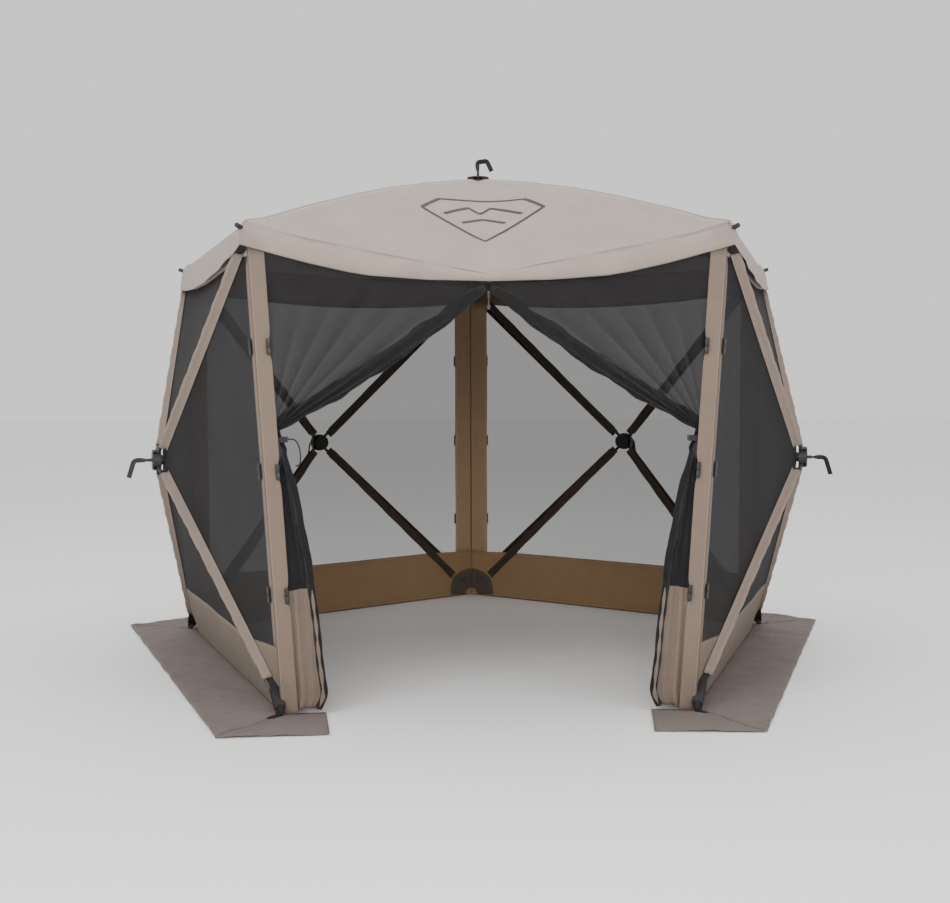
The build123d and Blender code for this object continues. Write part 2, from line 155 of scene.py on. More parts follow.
# ------------------------------------------------------------------ materials
def new_mat(name):
    mt = bpy.data.materials.new(name)
    mt.use_nodes = True
    return mt, mt.node_tree, mt.node_tree.nodes["Principled BSDF"]


def lin(c):
    c = np.array(c, float) / 255.0
    return tuple(np.where(c <= 0.04045, c / 12.92, ((c + 0.055) / 1.055) ** 2.4)) + (1.0,)


def math_node(nt, op, a, b=None, clamp=False):
    n = nt.nodes.new("ShaderNodeMath")
    n.operation, n.use_clamp = op, clamp
    for i, x in enumerate((a, b)):
        if x is None:
            continue
        if isinstance(x, (int, float)):
            n.inputs[i].default_value = x
        else:
            nt.links.new(x, n.inputs[i])
    return n.outputs[0]


def cloth_mat(name, rgb, rough=0.85, var=0.10, weave=420.0, weave_h=0.0004, wrinkle=0.004, wscale=9.0,
              stitches=(), alpha=None, sheen=0.15, spec=0.3, seam=(), dash=0.007, thread=1.35, stretch=(1, 1, 1)):
    mt, nt, b = new_mat(name)
    tc = nt.nodes.new("ShaderNodeTexCoord")
    mp = nt.nodes.new("ShaderNodeMapping")
    mp.inputs["Scale"].default_value = stretch
    nt.links.new(tc.outputs["Object"], mp.inputs["Vector"])
    n1 = nt.nodes.new("ShaderNodeTexNoise")
    n1.inputs["Scale"].default_value, n1.inputs["Detail"].default_value = wscale, 3.0
    nt.links.new(mp.outputs[0], n1.inputs["Vector"])
    n2 = nt.nodes.new("ShaderNodeTexNoise")
    n2.inputs["Scale"].default_value, n2.inputs["Detail"].default_value = 160.0, 2.0
    nt.links.new(tc.outputs["Object"], n2.inputs["Vector"])
    # weave from the cloth's own flat coordinates
    uv = nt.nodes.new("ShaderNodeSeparateXYZ")
    nt.links.new(tc.outputs["UV"], uv.inputs[0])
    wx = math_node(nt, "SINE", math_node(nt, "MULTIPLY", uv.outputs[0], weave * 2 * math.pi))
    wy = math_node(nt, "SINE", math_node(nt, "MULTIPLY", uv.outputs[1], weave * 2 * math.pi))
    wv = math_node(nt, "MULTIPLY", wx, wy)
    mixn = math_node(nt, "ADD", math_node(nt, "MULTIPLY", n1.outputs[0], 0.65), math_node(nt, "MULTIPLY", n2.outputs[0], 0.35))
    fac = math_node(nt, "ADD", mixn, math_node(nt, "MULTIPLY", wv, 0.06), True)
    ramp = nt.nodes.new("ShaderNodeMix")
    ramp.data_type = "RGBA"
    lo = lin(np.array(rgb) * (1 - var))
    hi = lin(np.minimum(np.array(rgb) * (1 + var), 250))
    ramp.inputs[6].default_value, ramp.inputs[7].default_value = lo, hi
    nt.links.new(fac, ramp.inputs[0])
    colour = ramp.outputs[2]
    height = math_node(nt, "ADD", math_node(nt, "MULTIPLY", n1.outputs[0], wrinkle), math_node(nt, "MULTIPLY", wv, weave_h))
    if stitches or seam:
        mask = None
        gap = math_node(nt, "LESS_THAN", math_node(nt, "FRACT", math_node(nt, "DIVIDE", uv.outputs[0], dash)), 0.62)
        for v0 in stitches:
            near = math_node(nt, "LESS_THAN", math_node(nt, "ABSOLUTE", math_node(nt, "SUBTRACT", uv.outputs[1], v0)), 0.0011)
            near = math_node(nt, "MULTIPLY", near, gap)
            mask = near if mask is None else math_node(nt, "MAXIMUM", mask, near)
        if mask is not None:
            mx = nt.nodes.new("ShaderNodeMix")
            mx.data_type = "RGBA"
            nt.links.new(mask, mx.inputs[0])
            nt.links.new(colour, mx.inputs[6])
            mx.inputs[7].default_value = lin(np.minimum(np.array(rgb) * thread, 245))
            colour = mx.outputs[2]
            height = math_node(nt, "ADD", height, math_node(nt, "MULTIPLY", mask, 0.0006))
        for v0 in seam:
            d = math_node(nt, "ABSOLUTE", math_node(nt, "SUBTRACT", uv.outputs[1], v0))
            near = math_node(nt, "SUBTRACT", 1.0, math_node(nt, "DIVIDE", d, 0.004), True)
            height = math_node(nt, "SUBTRACT", height, math_node(nt, "MULTIPLY", near, 0.0014))
            dk = nt.nodes.new("ShaderNodeMix")
            dk.data_type = "RGBA"
            nt.links.new(math_node(nt, "MULTIPLY", near, 0.6), dk.inputs[0])
            nt.links.new(colour, dk.inputs[6])
            dk.inputs[7].default_value = lin(np.array(rgb) * 0.45)
            colour = dk.outputs[2]
    nt.links.new(colour, b.inputs["Base Color"])
    bump = nt.nodes.new("ShaderNodeBump")
    bump.inputs["Strength"].default_value, bump.inputs["Distance"].default_value = 0.9, 1.0
    nt.links.new(height, bump.inputs["Height"])
    nt.links.new(bump.outputs[0], b.inputs["Normal"])
    rr = math_node(nt, "ADD", math_node(nt, "MULTIPLY", n2.outputs[0], 0.16), rough - 0.08, True)
    nt.links.new(rr, b.inputs["Roughness"])
    b.inputs["Sheen Weight"].default_value = sheen
    b.inputs["Specular IOR Level"].default_value = spec
    if alpha is not None:
        b.inputs["Alpha"].default_value = alpha
    return mt


def hard_mat(name, rgb, rough=0.45, metallic=0.0, grain=220.0, depth=0.0004, var=0.12, coat=0.0):
    mt, nt, b = new_mat(name)
    tc = nt.nodes.new("ShaderNodeTexCoord")
    n = nt.nodes.new("ShaderNodeTexNoise")
    n.inputs["Scale"].default_value, n.inputs["Detail"].default_value = grain, 4.0
    nt.links.new(tc.outputs["Object"], n.inputs["Vector"])
    n2 = nt.nodes.new("ShaderNodeTexNoise")
    n2.inputs["Scale"].default_value, n2.inputs["Detail"].default_value = 12.0, 3.0
    nt.links.new(tc.outputs["Object"], n2.inputs["Vector"])
    ramp = nt.nodes.new("ShaderNodeMix")
    ramp.data_type = "RGBA"
    ramp.inputs[6].default_value = lin(np.array(rgb) * (1 - var))
    ramp.inputs[7].default_value = lin(np.minimum(np.array(rgb) * (1 + var), 250))
    nt.links.new(n2.outputs[0], ramp.inputs[0])
    nt.links.new(ramp.outputs[2], b.inputs["Base Color"])
    bump = nt.nodes.new("ShaderNodeBump")
    bump.inputs["Strength"].default_value, bump.inputs["Distance"].default_value = 0.6, 1.0
    nt.links.new(math_node(nt, "MULTIPLY", n.outputs[0], depth), bump.inputs["Height"])
    nt.links.new(bump.outputs[0], b.inputs["Normal"])
    nt.links.new(math_node(nt, "ADD", math_node(nt, "MULTIPLY", n.outputs[0], 0.2), rough - 0.1, True), b.inputs["Roughness"])
    b.inputs["Metallic"].default_value = metallic
    b.inputs["Coat Weight"].default_value = coat
    return mt


TAN = (158, 142, 131)
M_ROOF = cloth_mat("roof_cloth", (164, 149, 140), var=0.09, wrinkle=0.014, wscale=7.0, stitches=(0.012, 0.020), seam=(0.004,), rough=0.72, spec=0.4)
M_BAND = cloth_mat("band_cloth", (124, 108, 96), var=0.07, wrinkle=0.005, wscale=12.0, stitches=(0.008, 0.092), seam=(0.003,))
M_UPPER = cloth_mat("upper_band_cloth", (172, 158, 148), var=0.07, wrinkle=0.006, wscale=10.0, stitches=(0.008,))
M_LOWER = cloth_mat("lower_band_cloth", (112, 97, 82), var=0.08, wrinkle=0.007, wscale=10.0, stitches=(0.010, 0.240))
# back walls' side and lower bands: lighter copies of the band cloths, painted light standing in for daylight coming
# through the cloth
M_BAND_PAINTED_LIT = cloth_mat("band_cloth_back_painted_light", (172, 146, 116), var=0.07, wrinkle=0.005, wscale=12.0, stitches=(0.008, 0.092), seam=(0.003,))
M_LOWER_PAINTED_LIT = cloth_mat("lower_band_cloth_back_painted_light", (156, 128, 96), var=0.08, wrinkle=0.007, wscale=10.0, stitches=(0.010, 0.240))
# back walls' upper band: darker copy of the upper band cloth, painted shade under the roof brim
M_UPPER_PAINTED_SHADE = cloth_mat("upper_band_cloth_back_painted_shade", (110, 92, 74), var=0.07, wrinkle=0.006, wscale=10.0, stitches=(0.008,))
M_SKIRT = cloth_mat("skirt_cloth", (108, 95, 90), var=0.13, wrinkle=0.020, wscale=11.0, stitches=(0.008, 0.335), rough=0.75)
M_SLEEVE = cloth_mat("sleeve_cloth", (136, 121, 110), var=0.08, wrinkle=0.003, wscale=22.0, stitches=(0.004, 0.044))
# darker copy of the sleeve cloth: painted shade for the tapes and roof sleeves seen from inside
M_SLEEVE_PAINTED_SHADE = cloth_mat("sleeve_cloth_painted_shade", (66, 54, 44), var=0.10, wrinkle=0.003, wscale=22.0, stitches=(0.004,))
M_MESH_SIDE = cloth_mat("wall_mesh_side", (26, 25, 27), var=0.18, weave=300.0, wrinkle=0.002, alpha=0.93, sheen=0.05, spec=0.15)
M_MESH_BACK = cloth_mat("wall_mesh_back", (34, 33, 34), var=0.15, weave=300.0, wrinkle=0.002, alpha=0.70, sheen=0.05, spec=0.15)
M_DOOR = cloth_mat("door_mesh", (36, 35, 38), var=0.25, weave=300.0, wrinkle=0.003, alpha=0.84, sheen=0.08, spec=0.15)
M_DOOR_EDGE = cloth_mat("door_edge_tape", (11, 10, 11), var=0.2, wrinkle=0.008, wscale=40.0, stitches=(0.006,), rough=0.8)
M_DOOR_LOW = cloth_mat("door_lower_cloth", (120, 105, 94), var=0.08, wrinkle=0.006, wscale=14.0, stitches=(0.010,))
M_PATCH = cloth_mat("patch_cloth", (88, 80, 74), var=0.1, wrinkle=0.002, stitches=(0.006, 0.012))
M_TOGGLE = hard_mat("toggle_plastic", (24, 23, 23), rough=0.42, grain=400.0)
M_MOULD = hard_mat("moulded_plastic", (30, 29, 29), rough=0.5, grain=500.0, depth=0.0003)
M_POLE = hard_mat("fibreglass_pole", (44, 42, 40), rough=0.38, grain=260.0, depth=0.0002, coat=0.2)
M_STEEL = hard_mat("pin_steel", (170, 170, 172), rough=0.32, metallic=1.0, grain=600.0, depth=0.0001)
M_ZIP = hard_mat("zip_metal", (48, 47, 46), rough=0.35, metallic=0.9, grain=500.0, depth=0.0002)
M_WEB = cloth_mat("webbing", (34, 32, 31), var=0.2, weave=330.0, weave_h=0.0009, wrinkle=0.001, wscale=30.0, stitches=(0.002, 0.022), dash=0.004, rough=0.7, thread=1.8)
M_EMBLEM = cloth_mat("emblem_print", (40, 38, 38), var=0.04, wrinkle=0.010, wscale=7.0)


def mesh_obj(name, verts, faces, mat, uv=None, smooth_it=True, thick=0.0, off=0.0):
    me = bpy.data.meshes.new(name)
    me.from_pydata([tuple(map(float, v)) for v in verts], [], faces)
    me.update()
    if uv is not None:
        layer = me.uv_layers.new(name="flat")
        idx = np.empty(len(me.loops), np.int32)
        me.loops.foreach_get("vertex_index", idx)
        layer.data.foreach_set("uv", np.asarray(uv, np.float32)[idx].ravel())
    if smooth_it:
        me.polygons.foreach_set("use_smooth", np.ones(len(me.polygons), bool))
    me.materials.append(mat)
    o = bpy.data.objects.new(name, me)
    bpy.context.scene.collection.objects.link(o)
    return o


def thicken(verts, faces, uv, normals, t):
    """A sheet given real thickness t, closed round its edge: returns verts, faces, uv."""
    n = len(verts)
    verts = np.asarray(verts, float)
    top, low = verts + normals * (t / 2), verts - normals * (t / 2)
    f2 = [tuple(f) for f in faces] + [tuple(n + i for i in reversed(f)) for f in faces]
    count = {}
    for f in faces:
        for a, b in zip(f, f[1:] + f[:1]):
            count[(a, b)] = count.get((a, b), 0) + 1
    for (a, b) in list(count):
        if (b, a) not in count:
            f2.append((b, a, n + a, n + b))
    return np.vstack([top, low]), f2, (None if uv is None else np.vstack([uv, uv]))


def vert_normals(verts, faces):
    verts = np.asarray(verts, float)
    acc = np.zeros_like(verts)
    for f in faces:
        p = verts[list(f)]
        nn = np.zeros(3)
        for i in range(len(f)):
            a, b = p[i], p[(i + 1) % len(f)]
            nn += np.cross(a, b)
        for i in f:
            acc[i] += nn
    L = np.linalg.norm(acc, axis=1)
    L[L == 0] = 1
    return acc / L[:, None]


def grid_faces(nu, nv, keep=None, flip=False):
    faces = []
    for i in range(nu - 1):
        for j in range(nv - 1):
            if keep is not None and not keep(i, j):
                continue
            f = (i * nv + j, (i + 1) * nv + j, (i + 1) * nv + j + 1, i * nv + j + 1)
            faces.append(f[::-1] if flip else f)
    return faces


def set_weights(o, w):
    at = o.data.attributes["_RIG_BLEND"]
    at.data.foreach_set("value", np.asarray(w, np.float32))


def drop_unused(verts, faces, *arrays):
    used = sorted({i for f in faces for i in f})
    m_ = {i: k for k, i in enumerate(used)}
    return (np.asarray(verts)[used], [tuple(m_[i] for i in f) for f in faces]) + tuple(np.asarray(a)[used] for a in arrays)


# ------------------------------------------------------------------ walls
POS = np.concatenate([[0.03], np.linspace(0.07, 0.72, 15), [0.76, 0.80, 0.836, 0.865, 0.889, 0.915, 0.935, 0.954, 0.975, 0.988, 1.0]])
AX = np.concatenate([-POS[::-1], [0.0], POS])
WALL = {}


class Wall:
    def __init__(self, name):
        self.name = name
        ka, kb = self.keys = WALLS[name]
        A, B = plan(ka, HZ, PRC), plan(kb, HZ, PRC)
        M = (A + B) / 2
        self.n = unit(V(M[0], M[1] - YC, 0))
        self.t = unit(B - A)
        self.H = M + self.n * POP
        self.O = V(M[0], M[1], 0)
        self.corner = {("a", "t"): plan(ka, EAVE, PRC), ("b", "t"): plan(kb, EAVE, PRC),
                       ("a", "b"): base(ka, 0, PRC), ("b", "b"): base(kb, 0, PRC)}
        c = self.corner
        self.planes = []
        self.lines = []
        for p, q in ((c["a", "t"], c["b", "t"]), (c["b", "t"], c["b", "b"]), (c["b", "b"], c["a", "b"]), (c["a", "b"], c["a", "t"])):
            P, Q, H = self.loc(p), self.loc(q), self.loc(self.H)
            nn = np.cross(Q - P, H - P)
            self.planes.append((nn, nn @ P))
            e = (Q - P)[:2]
            ln = V(-e[1], e[0])
            c0 = ln @ P[:2]
            self.lines.append((ln / (ln @ H[:2] - c0), c0 / (ln @ H[:2] - c0)))

    def loc(self, p):
        d = np.asarray(p) - self.O
        return np.stack([d @ self.t, d[..., 2], d @ self.n], -1)

    def world(self, q):
        q = np.asarray(q)
        return self.O + q[..., :1] * self.t + q[..., 1:2] * V(0, 0, 1) + q[..., 2:3] * self.n

    def height(self, t, z):
        """Cloth's distance out along the wall's normal at (t, z)."""
        hs = [(c - nn[0] * t - nn[1] * z) / nn[2] for nn, c in self.planes]
        h = np.min(hs, axis=0)
        return np.minimum(h, POP - 0.011 + 0 * h)

    def weight(self, t, z):
        w = np.min([l[0] * t + l[1] * z - c for l, c in self.lines], axis=0)
        return np.clip(w / 0.97, 0, 1)

    def point(self, a, b):
        m_ = np.maximum(np.abs(a), np.abs(b))
        m_ = np.where(m_ == 0, 1e-9, m_)
        ea, eb = a / m_, b / m_
        c = self.corner
        fa, fb = ((ea + 1) / 2)[..., None], ((eb + 1) / 2)[..., None]
        e = (c["a", "b"] * (1 - fa) + c["b", "b"] * fa) * (1 - fb) + (c["a", "t"] * (1 - fa) + c["b", "t"] * fa) * fb
        p = e * m_[..., None] + self.H * (1 - m_)[..., None]
        # gripped flat round the hub's neck
        h = (p - self.O) @ self.n
        p = p - self.n * np.maximum(h - (POP - 0.011), 0)[..., None]
        # clear of the corner fittings
        for s, k in (("a", self.keys[0]), ("b", self.keys[1])):
            for lv, zc in (("t", CT), ("b", CB)):
                cc = plan(k, zc) if lv == "t" else base(k, zc)
                d = np.linalg.norm(p - cc, axis=-1)
                p = p - out(k) * (0.021 * (1 - smooth(d / 0.17)))[..., None]
        return p


def wall_piece(w, name, ia, ib, mat, uvf, thick, field=False, mesh_field=False):
    """Part of the wall's one grid: index ranges ia, ib (inclusive)."""
    a, b = np.meshgrid(AX[ia[0]:ia[1] + 1], AX[ib[0]:ib[1] + 1], indexing="ij")
    # the upper band's lower edge rises to the corners
    hat = np.clip(1 - np.abs(b - 0.836) / 0.12, 0, 1) * (b < 1)
    bw = b + 0.045 * a ** 2 * hat
    p = w.point(a, bw)
    wt = np.clip((1 - np.maximum(np.abs(a), np.abs(bw))) / 0.97, 0, 1)
    # slack: shallow ripples that die out at the seams and along the poles
    fade = smooth(np.abs(np.abs(a) - np.abs(bw)) / 0.12) * smooth((1 - np.maximum(np.abs(a), np.abs(bw))) / 0.10)
    p = p + w.n * ((noise(p, 0.35, 3) * 0.0028 - 0.004) * fade)[..., None]
    na, nb = a.shape
    ca, cb = (a[:-1, :-1] + a[1:, 1:]) / 2, (b[:-1, :-1] + b[1:, 1:]) / 2
    faces = []
    for i in range(na - 1):
        for j in range(nb - 1):
            if max(abs(ca[i, j]), abs(cb[i, j])) < 0.03:
                continue
            v = (i * nb + j, (i + 1) * nb + j, (i + 1) * nb + j + 1, i * nb + j + 1)
            if abs(abs(ca[i, j]) - abs(cb[i, j])) < 1e-6:
                if ca[i, j] * cb[i, j] > 0:
                    faces += [(v[0], v[1], v[2]), (v[0], v[2], v[3])]
                else:
                    faces += [(v[0], v[1], v[3]), (v[1], v[2], v[3])]
            else:
                faces.append(v)
    uv = uvf(a, bw, p).reshape(-1, 2)
    P = p.reshape(-1, 3)
    W = wt.ravel()
    P, faces, uv, W = drop_unused(P, faces, uv, W)
    # faces wind outward
    nn = vert_normals(P, faces)
    if np.mean(nn @ w.n) < 0:
        faces = [f[::-1] for f in faces]
        nn = -nn
    if thick:
        P, faces, uv = thicken(P, faces, uv, nn, thick)
        W = np.concatenate([W, W])
    o = mesh_obj(name, P, faces, mat, uv)
    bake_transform(o, "root", w.name + "_hub", tuple(w.O + V(0, 0, HZ)), tuple(w.H))
    set_weights(o, W)
    return o


def crease_tapes(w):
    """Reinforcing tape inside the cloth, behind each pole, in sleeve cloth darkened with painted shade."""
    verts, faces, wts, uv = [], [], [], []
    c = w.corner
    for cc in (c["a", "t"], c["b", "t"], c["b", "b"], c["a", "b"]):
        q0, q1 = w.loc(w.H), w.loc(cc)
        d = unit((q1 - q0)[:2])
        sd = V(-d[1], d[0])
        L = np.linalg.norm((q1 - q0)[:2])
        n0 = len(verts)
        ss = np.linspace(0.060, L - 0.16, 48)
        for k, x in enumerate(ss):
            for o_ in (-0.021, -0.011, 0.0, 0.011, 0.021):
                t_, z_ = q0[:2] + d * x + sd * (o_ * (1 + 0.05 * math.sin(x * 37)))
                h = float(w.height(t_, z_)) - 0.0035 - 0.0008 * abs(math.sin(x * 53))
                verts.append(w.world(V(t_, z_, h)))
                wts.append(float(w.weight(t_, z_)))
                uv.append((x, o_ + 0.021))
        faces += [tuple(n0 + i for i in f) for f in grid_faces(len(ss), 5)]
    P = np.array(verts)
    nn = vert_normals(P, faces)
    P, F, U = thicken(P, faces, np.array(uv), nn, 0.0008)
    o = mesh_obj(w.name + "_wall_crease_tapes", P, F, M_SLEEVE_PAINTED_SHADE, U)
    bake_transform(o, "root", w.name + "_hub", tuple(w.O + V(0, 0, HZ)), tuple(w.H))
    set_weights(o, wts + wts)


I = {round(float(v), 3): i for i, v in enumerate(AX)}
iE, iB, iU, iN = I[0.889], I[-0.72], I[0.836], len(AX) - 1
iW = I[-0.889]
width = 2 * PRC * math.sin(math.radians(36))
SIDE = (1 - 0.889) * 0.87
for name in WALLS:
    w = WALL[name] = Wall(name)
    back = name.startswith("back")
    uv_xy = lambda a, b, p, w=w: np.stack([(p - w.O) @ w.t, p[..., 2]], -1)
    uv_low = lambda a, b, p, w=w: np.stack([(p - w.O) @ w.t, p[..., 2]], -1)
    uv_up = lambda a, b, p, w=w: np.stack([(p - w.O) @ w.t, (1 - b) * 0.89], -1)
    uv_side = lambda a, b, p: np.stack([p[..., 2], (1 - np.abs(a)) * 0.90], -1)
    jW = I[-0.954] if w.keys[0] == "fr" else iW
    jE = I[0.954] if w.keys[1] == "fl" else iE
    mesh = wall_piece(w, name + "_wall_mesh", (jW, jE), (iB, iU), M_MESH_BACK if back else M_MESH_SIDE, uv_xy, 0.0)
    # back walls take the painted copies of the band cloths: painted light on the side and lower bands, painted shade on
    # the upper band
    low = wall_piece(w, name + "_wall_lower_band", (0, iN), (0, iB), M_LOWER_PAINTED_LIT if back else M_LOWER, uv_low, 0.0012)
    upp = wall_piece(w, name + "_wall_upper_band", (0, iN), (iU, iN), M_UPPER_PAINTED_SHADE if back else M_UPPER, uv_up, 0.0012)
    s1 = wall_piece(w, name + "_wall_side_band_a", (0, jW), (iB, iU), M_BAND_PAINTED_LIT if back else M_BAND, uv_side, 0.0012)
    s2 = wall_piece(w, name + "_wall_side_band_b", (jE, iN), (iB, iU), M_BAND_PAINTED_LIT if back else M_BAND, uv_side, 0.0012)
    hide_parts(name + "_wall")
    crease_tapes(w)

# ------------------------------------------------------------------ pole sleeves on the walls
def strip(name, rows, mat, uv_rows, thick=0.0012):
    nu, nv = len(rows), len(rows[0])
    P = np.array(rows).reshape(-1, 3)
    uv = np.array(uv_rows).reshape(-1, 2)
    faces = grid_faces(nu, nv)
    nn = vert_normals(P, faces)
    P, faces, uv = thicken(P, faces, uv, nn, thick)
    return mesh_obj(name, P, faces, mat, uv)


for name, w in WALL.items():
    ka, kb = w.keys
    M = (plan(ka, HZ) + plan(kb, HZ)) / 2
    H = M + w.n * POP
    for end, key in enumerate((ka, kb)):
        for level, z in (("top", CT), ("bottom", CB)):
            T = plan(key, z) if level == "top" else base(key, z)
            q = T - H
            u = unit(q - w.n * (q @ w.n))
            pin = H + u * 0.030
            toed = level == "bottom" and key in ("fl", "fr")
            d = unit(T - pin)
            L = np.linalg.norm(T - pin) - (0.028 if toed else 0.0)
            side = unit(np.cross(w.n, d))
            high = np.cross(d, side)
            s = np.concatenate([np.linspace(0.054, L - 0.105, 60)])
            rows, uvr = [], []
            for k, x in enumerate(s):
                c = pin + d * x
                wob = 0.0012 * math.sin(x * 43 + end * 2) + 0.0009 * math.sin(x * 97 + 1)
                endf = min(1.0, (k + 1) / 3, (len(s) - k) / 3)
                row, uvs = [], []
                for sx, hh in ((-0.024, None), (-0.0125, None), (-0.0100, -0.0040), (-0.0070, 0.0052), (-0.0028, 0.0086), (0.0028, 0.0086), (0.0070, 0.0052), (0.0100, -0.0040), (0.0125, None), (0.024, None)):
                    if hh is None:
                        pt = c + side * (sx * (1 + 6 * wob))
                        l = w.loc(pt)
                        hgt = float(w.height(l[0], l[1])) + 0.0016 + (0.0006 if abs(sx) > 0.02 else 0.0012)
                        pt = w.world(V(l[0], l[1], hgt))
                    else:
                        pt = c + side * sx * (1 + 0.06 * math.sin(x * 61)) + high * (hh + wob)
                    row.append(pt)
                    uvs.append((x, sx + 0.024))
                rows.append(row)
                uvr.append(uvs)
            pn = f"{name}_pole_{level}_{ENDS[name][end]}"
            o = strip(pn + "_sleeve", rows, M_SLEEVE, uvr)
            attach(o, pn)

# ------------------------------------------------------------------ roof
ORDER = ["fl", "fr", "r", "b", "l"]
TOP = V(0, YC, APEX + 0.0006)
NS = 24
LOWZ = np.array([[0, 1.573], [0.23, 1.578], [0.46, 1.595], [0.67, 1.641], [0.826, 1.684], [0.87, 1.70]])


def crease_z(x):
    return 1.776 - 0.176 * (1 - np.abs(x) / 0.87) ** 0.95


def roof_edge(i, s):
    p, q = plan(ORDER[i], EAVE), plan(ORDER[(i + 1) % 5], EAVE)
    return p * (1 - s) + q * s


VS = np.concatenate([[0.022, 0.034, 0.06], np.linspace(0.1, 0.9, 22), [0.93, 0.955, 0.975, 0.99, 1.0]])
rows, wts, uvr = [], [], []
ANGS = [(i, k / NS) for i in range(5) for k in range(NS)] + [(0, 0.0)]
for i, s in ANGS:
    e = roof_edge(i, s)
    if i == 0:
        e = V(e[0], FY + 0.004, float(crease_z(e[0])))
    if (i, s) == (0, 0.0) or s == 0.0:
        e = roof_edge(i, s)
    # shallow valley between the poles, ridge on them
    near_pole = math.sin(math.pi * s)
    row, wr, ur = [], [], []
    Ledge = np.linalg.norm(e - TOP)
    for v in VS:
        p = TOP * (1 - v) + e * v
        bow = 0.036 * math.sin(math.pi * v) ** 0.9 * (1 - 0.25 * near_pole)
        if i == 0 and 0 < s < 1:
            bow += -0.020 * near_pole * v ** 2 * math.sin(math.pi * v)
            bow *= (1 - 0.35 * near_pole * v)
            bow -= 0.022 * math.exp(-((v - 0.93) / 0.06) ** 2) * near_pole ** 0.5 * (1 if v < 0.985 else 0.4)
            bow += 0.006 * math.sin(26 * e[0] + 9 * v) * math.exp(-((v - 0.86) / 0.10) ** 2)
        p = p + V(0, 0, bow)
        fl = smooth((v - 0.04) / 0.1) * smooth((1 - v) / 0.08)
        p = p + V(0, 0, 0.0035 * float(noise(p, 0.28, 11)) * float(fl) * (0.3 + 0.7 * near_pole))
        dc = min(np.linalg.norm(p - plan(k, CT)) for k in ORDER)
        p = p + V(0, 0, 0.014 * (1 - float(smooth(dc / 0.14))))
        row.append(p)
        wr.append(np.clip((1 - v) / (1 - 0.0324), 0, 1))
        ur.append((v * Ledge, s * 1.74 * v if s <= 0.5 else (1 - s) * 1.74 * v))
    # hem at the sides, brim over the door
    oe = unit(V(e[0], e[1] - YC, 0))
    ndir = unit(sum((out(k) for k in (ORDER[i], ORDER[(i + 1) % 5])), V(0, 0, 0)))
    if i == 0 and 0 < s < 1:
        x = e[0]
        zl = float(np.interp(abs(x), LOWZ[:, 0], LOWZ[:, 1]))
        zc = row[-1][2]
        for t in (0.06, 0.2, 0.4, 0.6, 0.8, 0.94, 1.0):
            z = zc + (zl - zc) * t
            bulge = 0.016 * math.sin(math.pi * t) ** 0.7 + 0.004 * math.sin(x * 23 + 4 * t)
            row.append(V(x * (1 - 0.01 * t), FY - 0.0005 - max(bulge, -0.003) + (0.010 if t < 0.1 else 0), z))
            wr.append(0.0)
            ur.append((Ledge + 0.01 + t * (zc - zl), 0.05 + 0.9 * abs(x)))
    else:
        if s == 0.0:
            ndir = out(ORDER[i])
        half = PR * math.sin(math.radians(36))
        tt = (s - 0.5) * 2 * half
        depth = 0.100 + 0.056 * math.sin(math.pi * s) ** 0.8
        if s == 0.0 and i in (0, 1):
            depth = 0.088
        q = row[len(VS) - 1]
        dcor = min(s, 1 - s) * 1.74
        for t in (0.06, 0.2, 0.4, 0.6, 0.8, 0.94, 1.0):
            dz = depth * t
            h = POP * min(dz / (EAVE - HZ), 1 - abs(tt) / half)
            push = (0.013 + 0.010 * (1 - float(smooth(dcor / 0.09)))) * float(smooth(t / 0.3)) + 0.003 * math.sin(tt * 17 + 2 * t) * float(smooth(dcor / 0.1)) * t
            row.append(V(e[0], e[1], q[2] - dz) + ndir * (max(h, 0.0) + push))
            wr.append(0.0)
            ur.append((Ledge + 0.01 + dz, 0.05 + dcor))
    rows.append(row)
    wts.append(wr)
    uvr.append(ur)
rows[-1], wts[-1], uvr[-1] = rows[0], wts[0], uvr[0]
ROOF_ROWS = rows
P = np.array(rows).reshape(-1, 3)
nr, nc = len(rows), len(rows[0])
faces = []
for i in range(nr - 1):
    for j in range(nc - 1):
        i2 = (i + 1) % (nr - 1)
        faces.append((i * nc + j, i * nc + j + 1, i2 * nc + j + 1, i2 * nc + j))
P, faces, Wt, UV = drop_unused(P, faces, np.array(wts).ravel(), np.array(uvr).reshape(-1, 2))
nn = vert_normals(P, faces)
if nn[:, 2].mean() < 0:
    faces = [f[::-1] for f in faces]
    nn = -nn
P2, F2, UV2 = thicken(P, faces, UV, nn, 0.0013)
roof = mesh_obj("roof_canopy_cloth", P2, F2, M_ROOF, UV2)
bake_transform(roof, "root", "roof_hub", (0, YC, EAVE), (0, YC, APEX))
set_weights(roof, np.concatenate([Wt, Wt]))
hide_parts("roof_canopy")

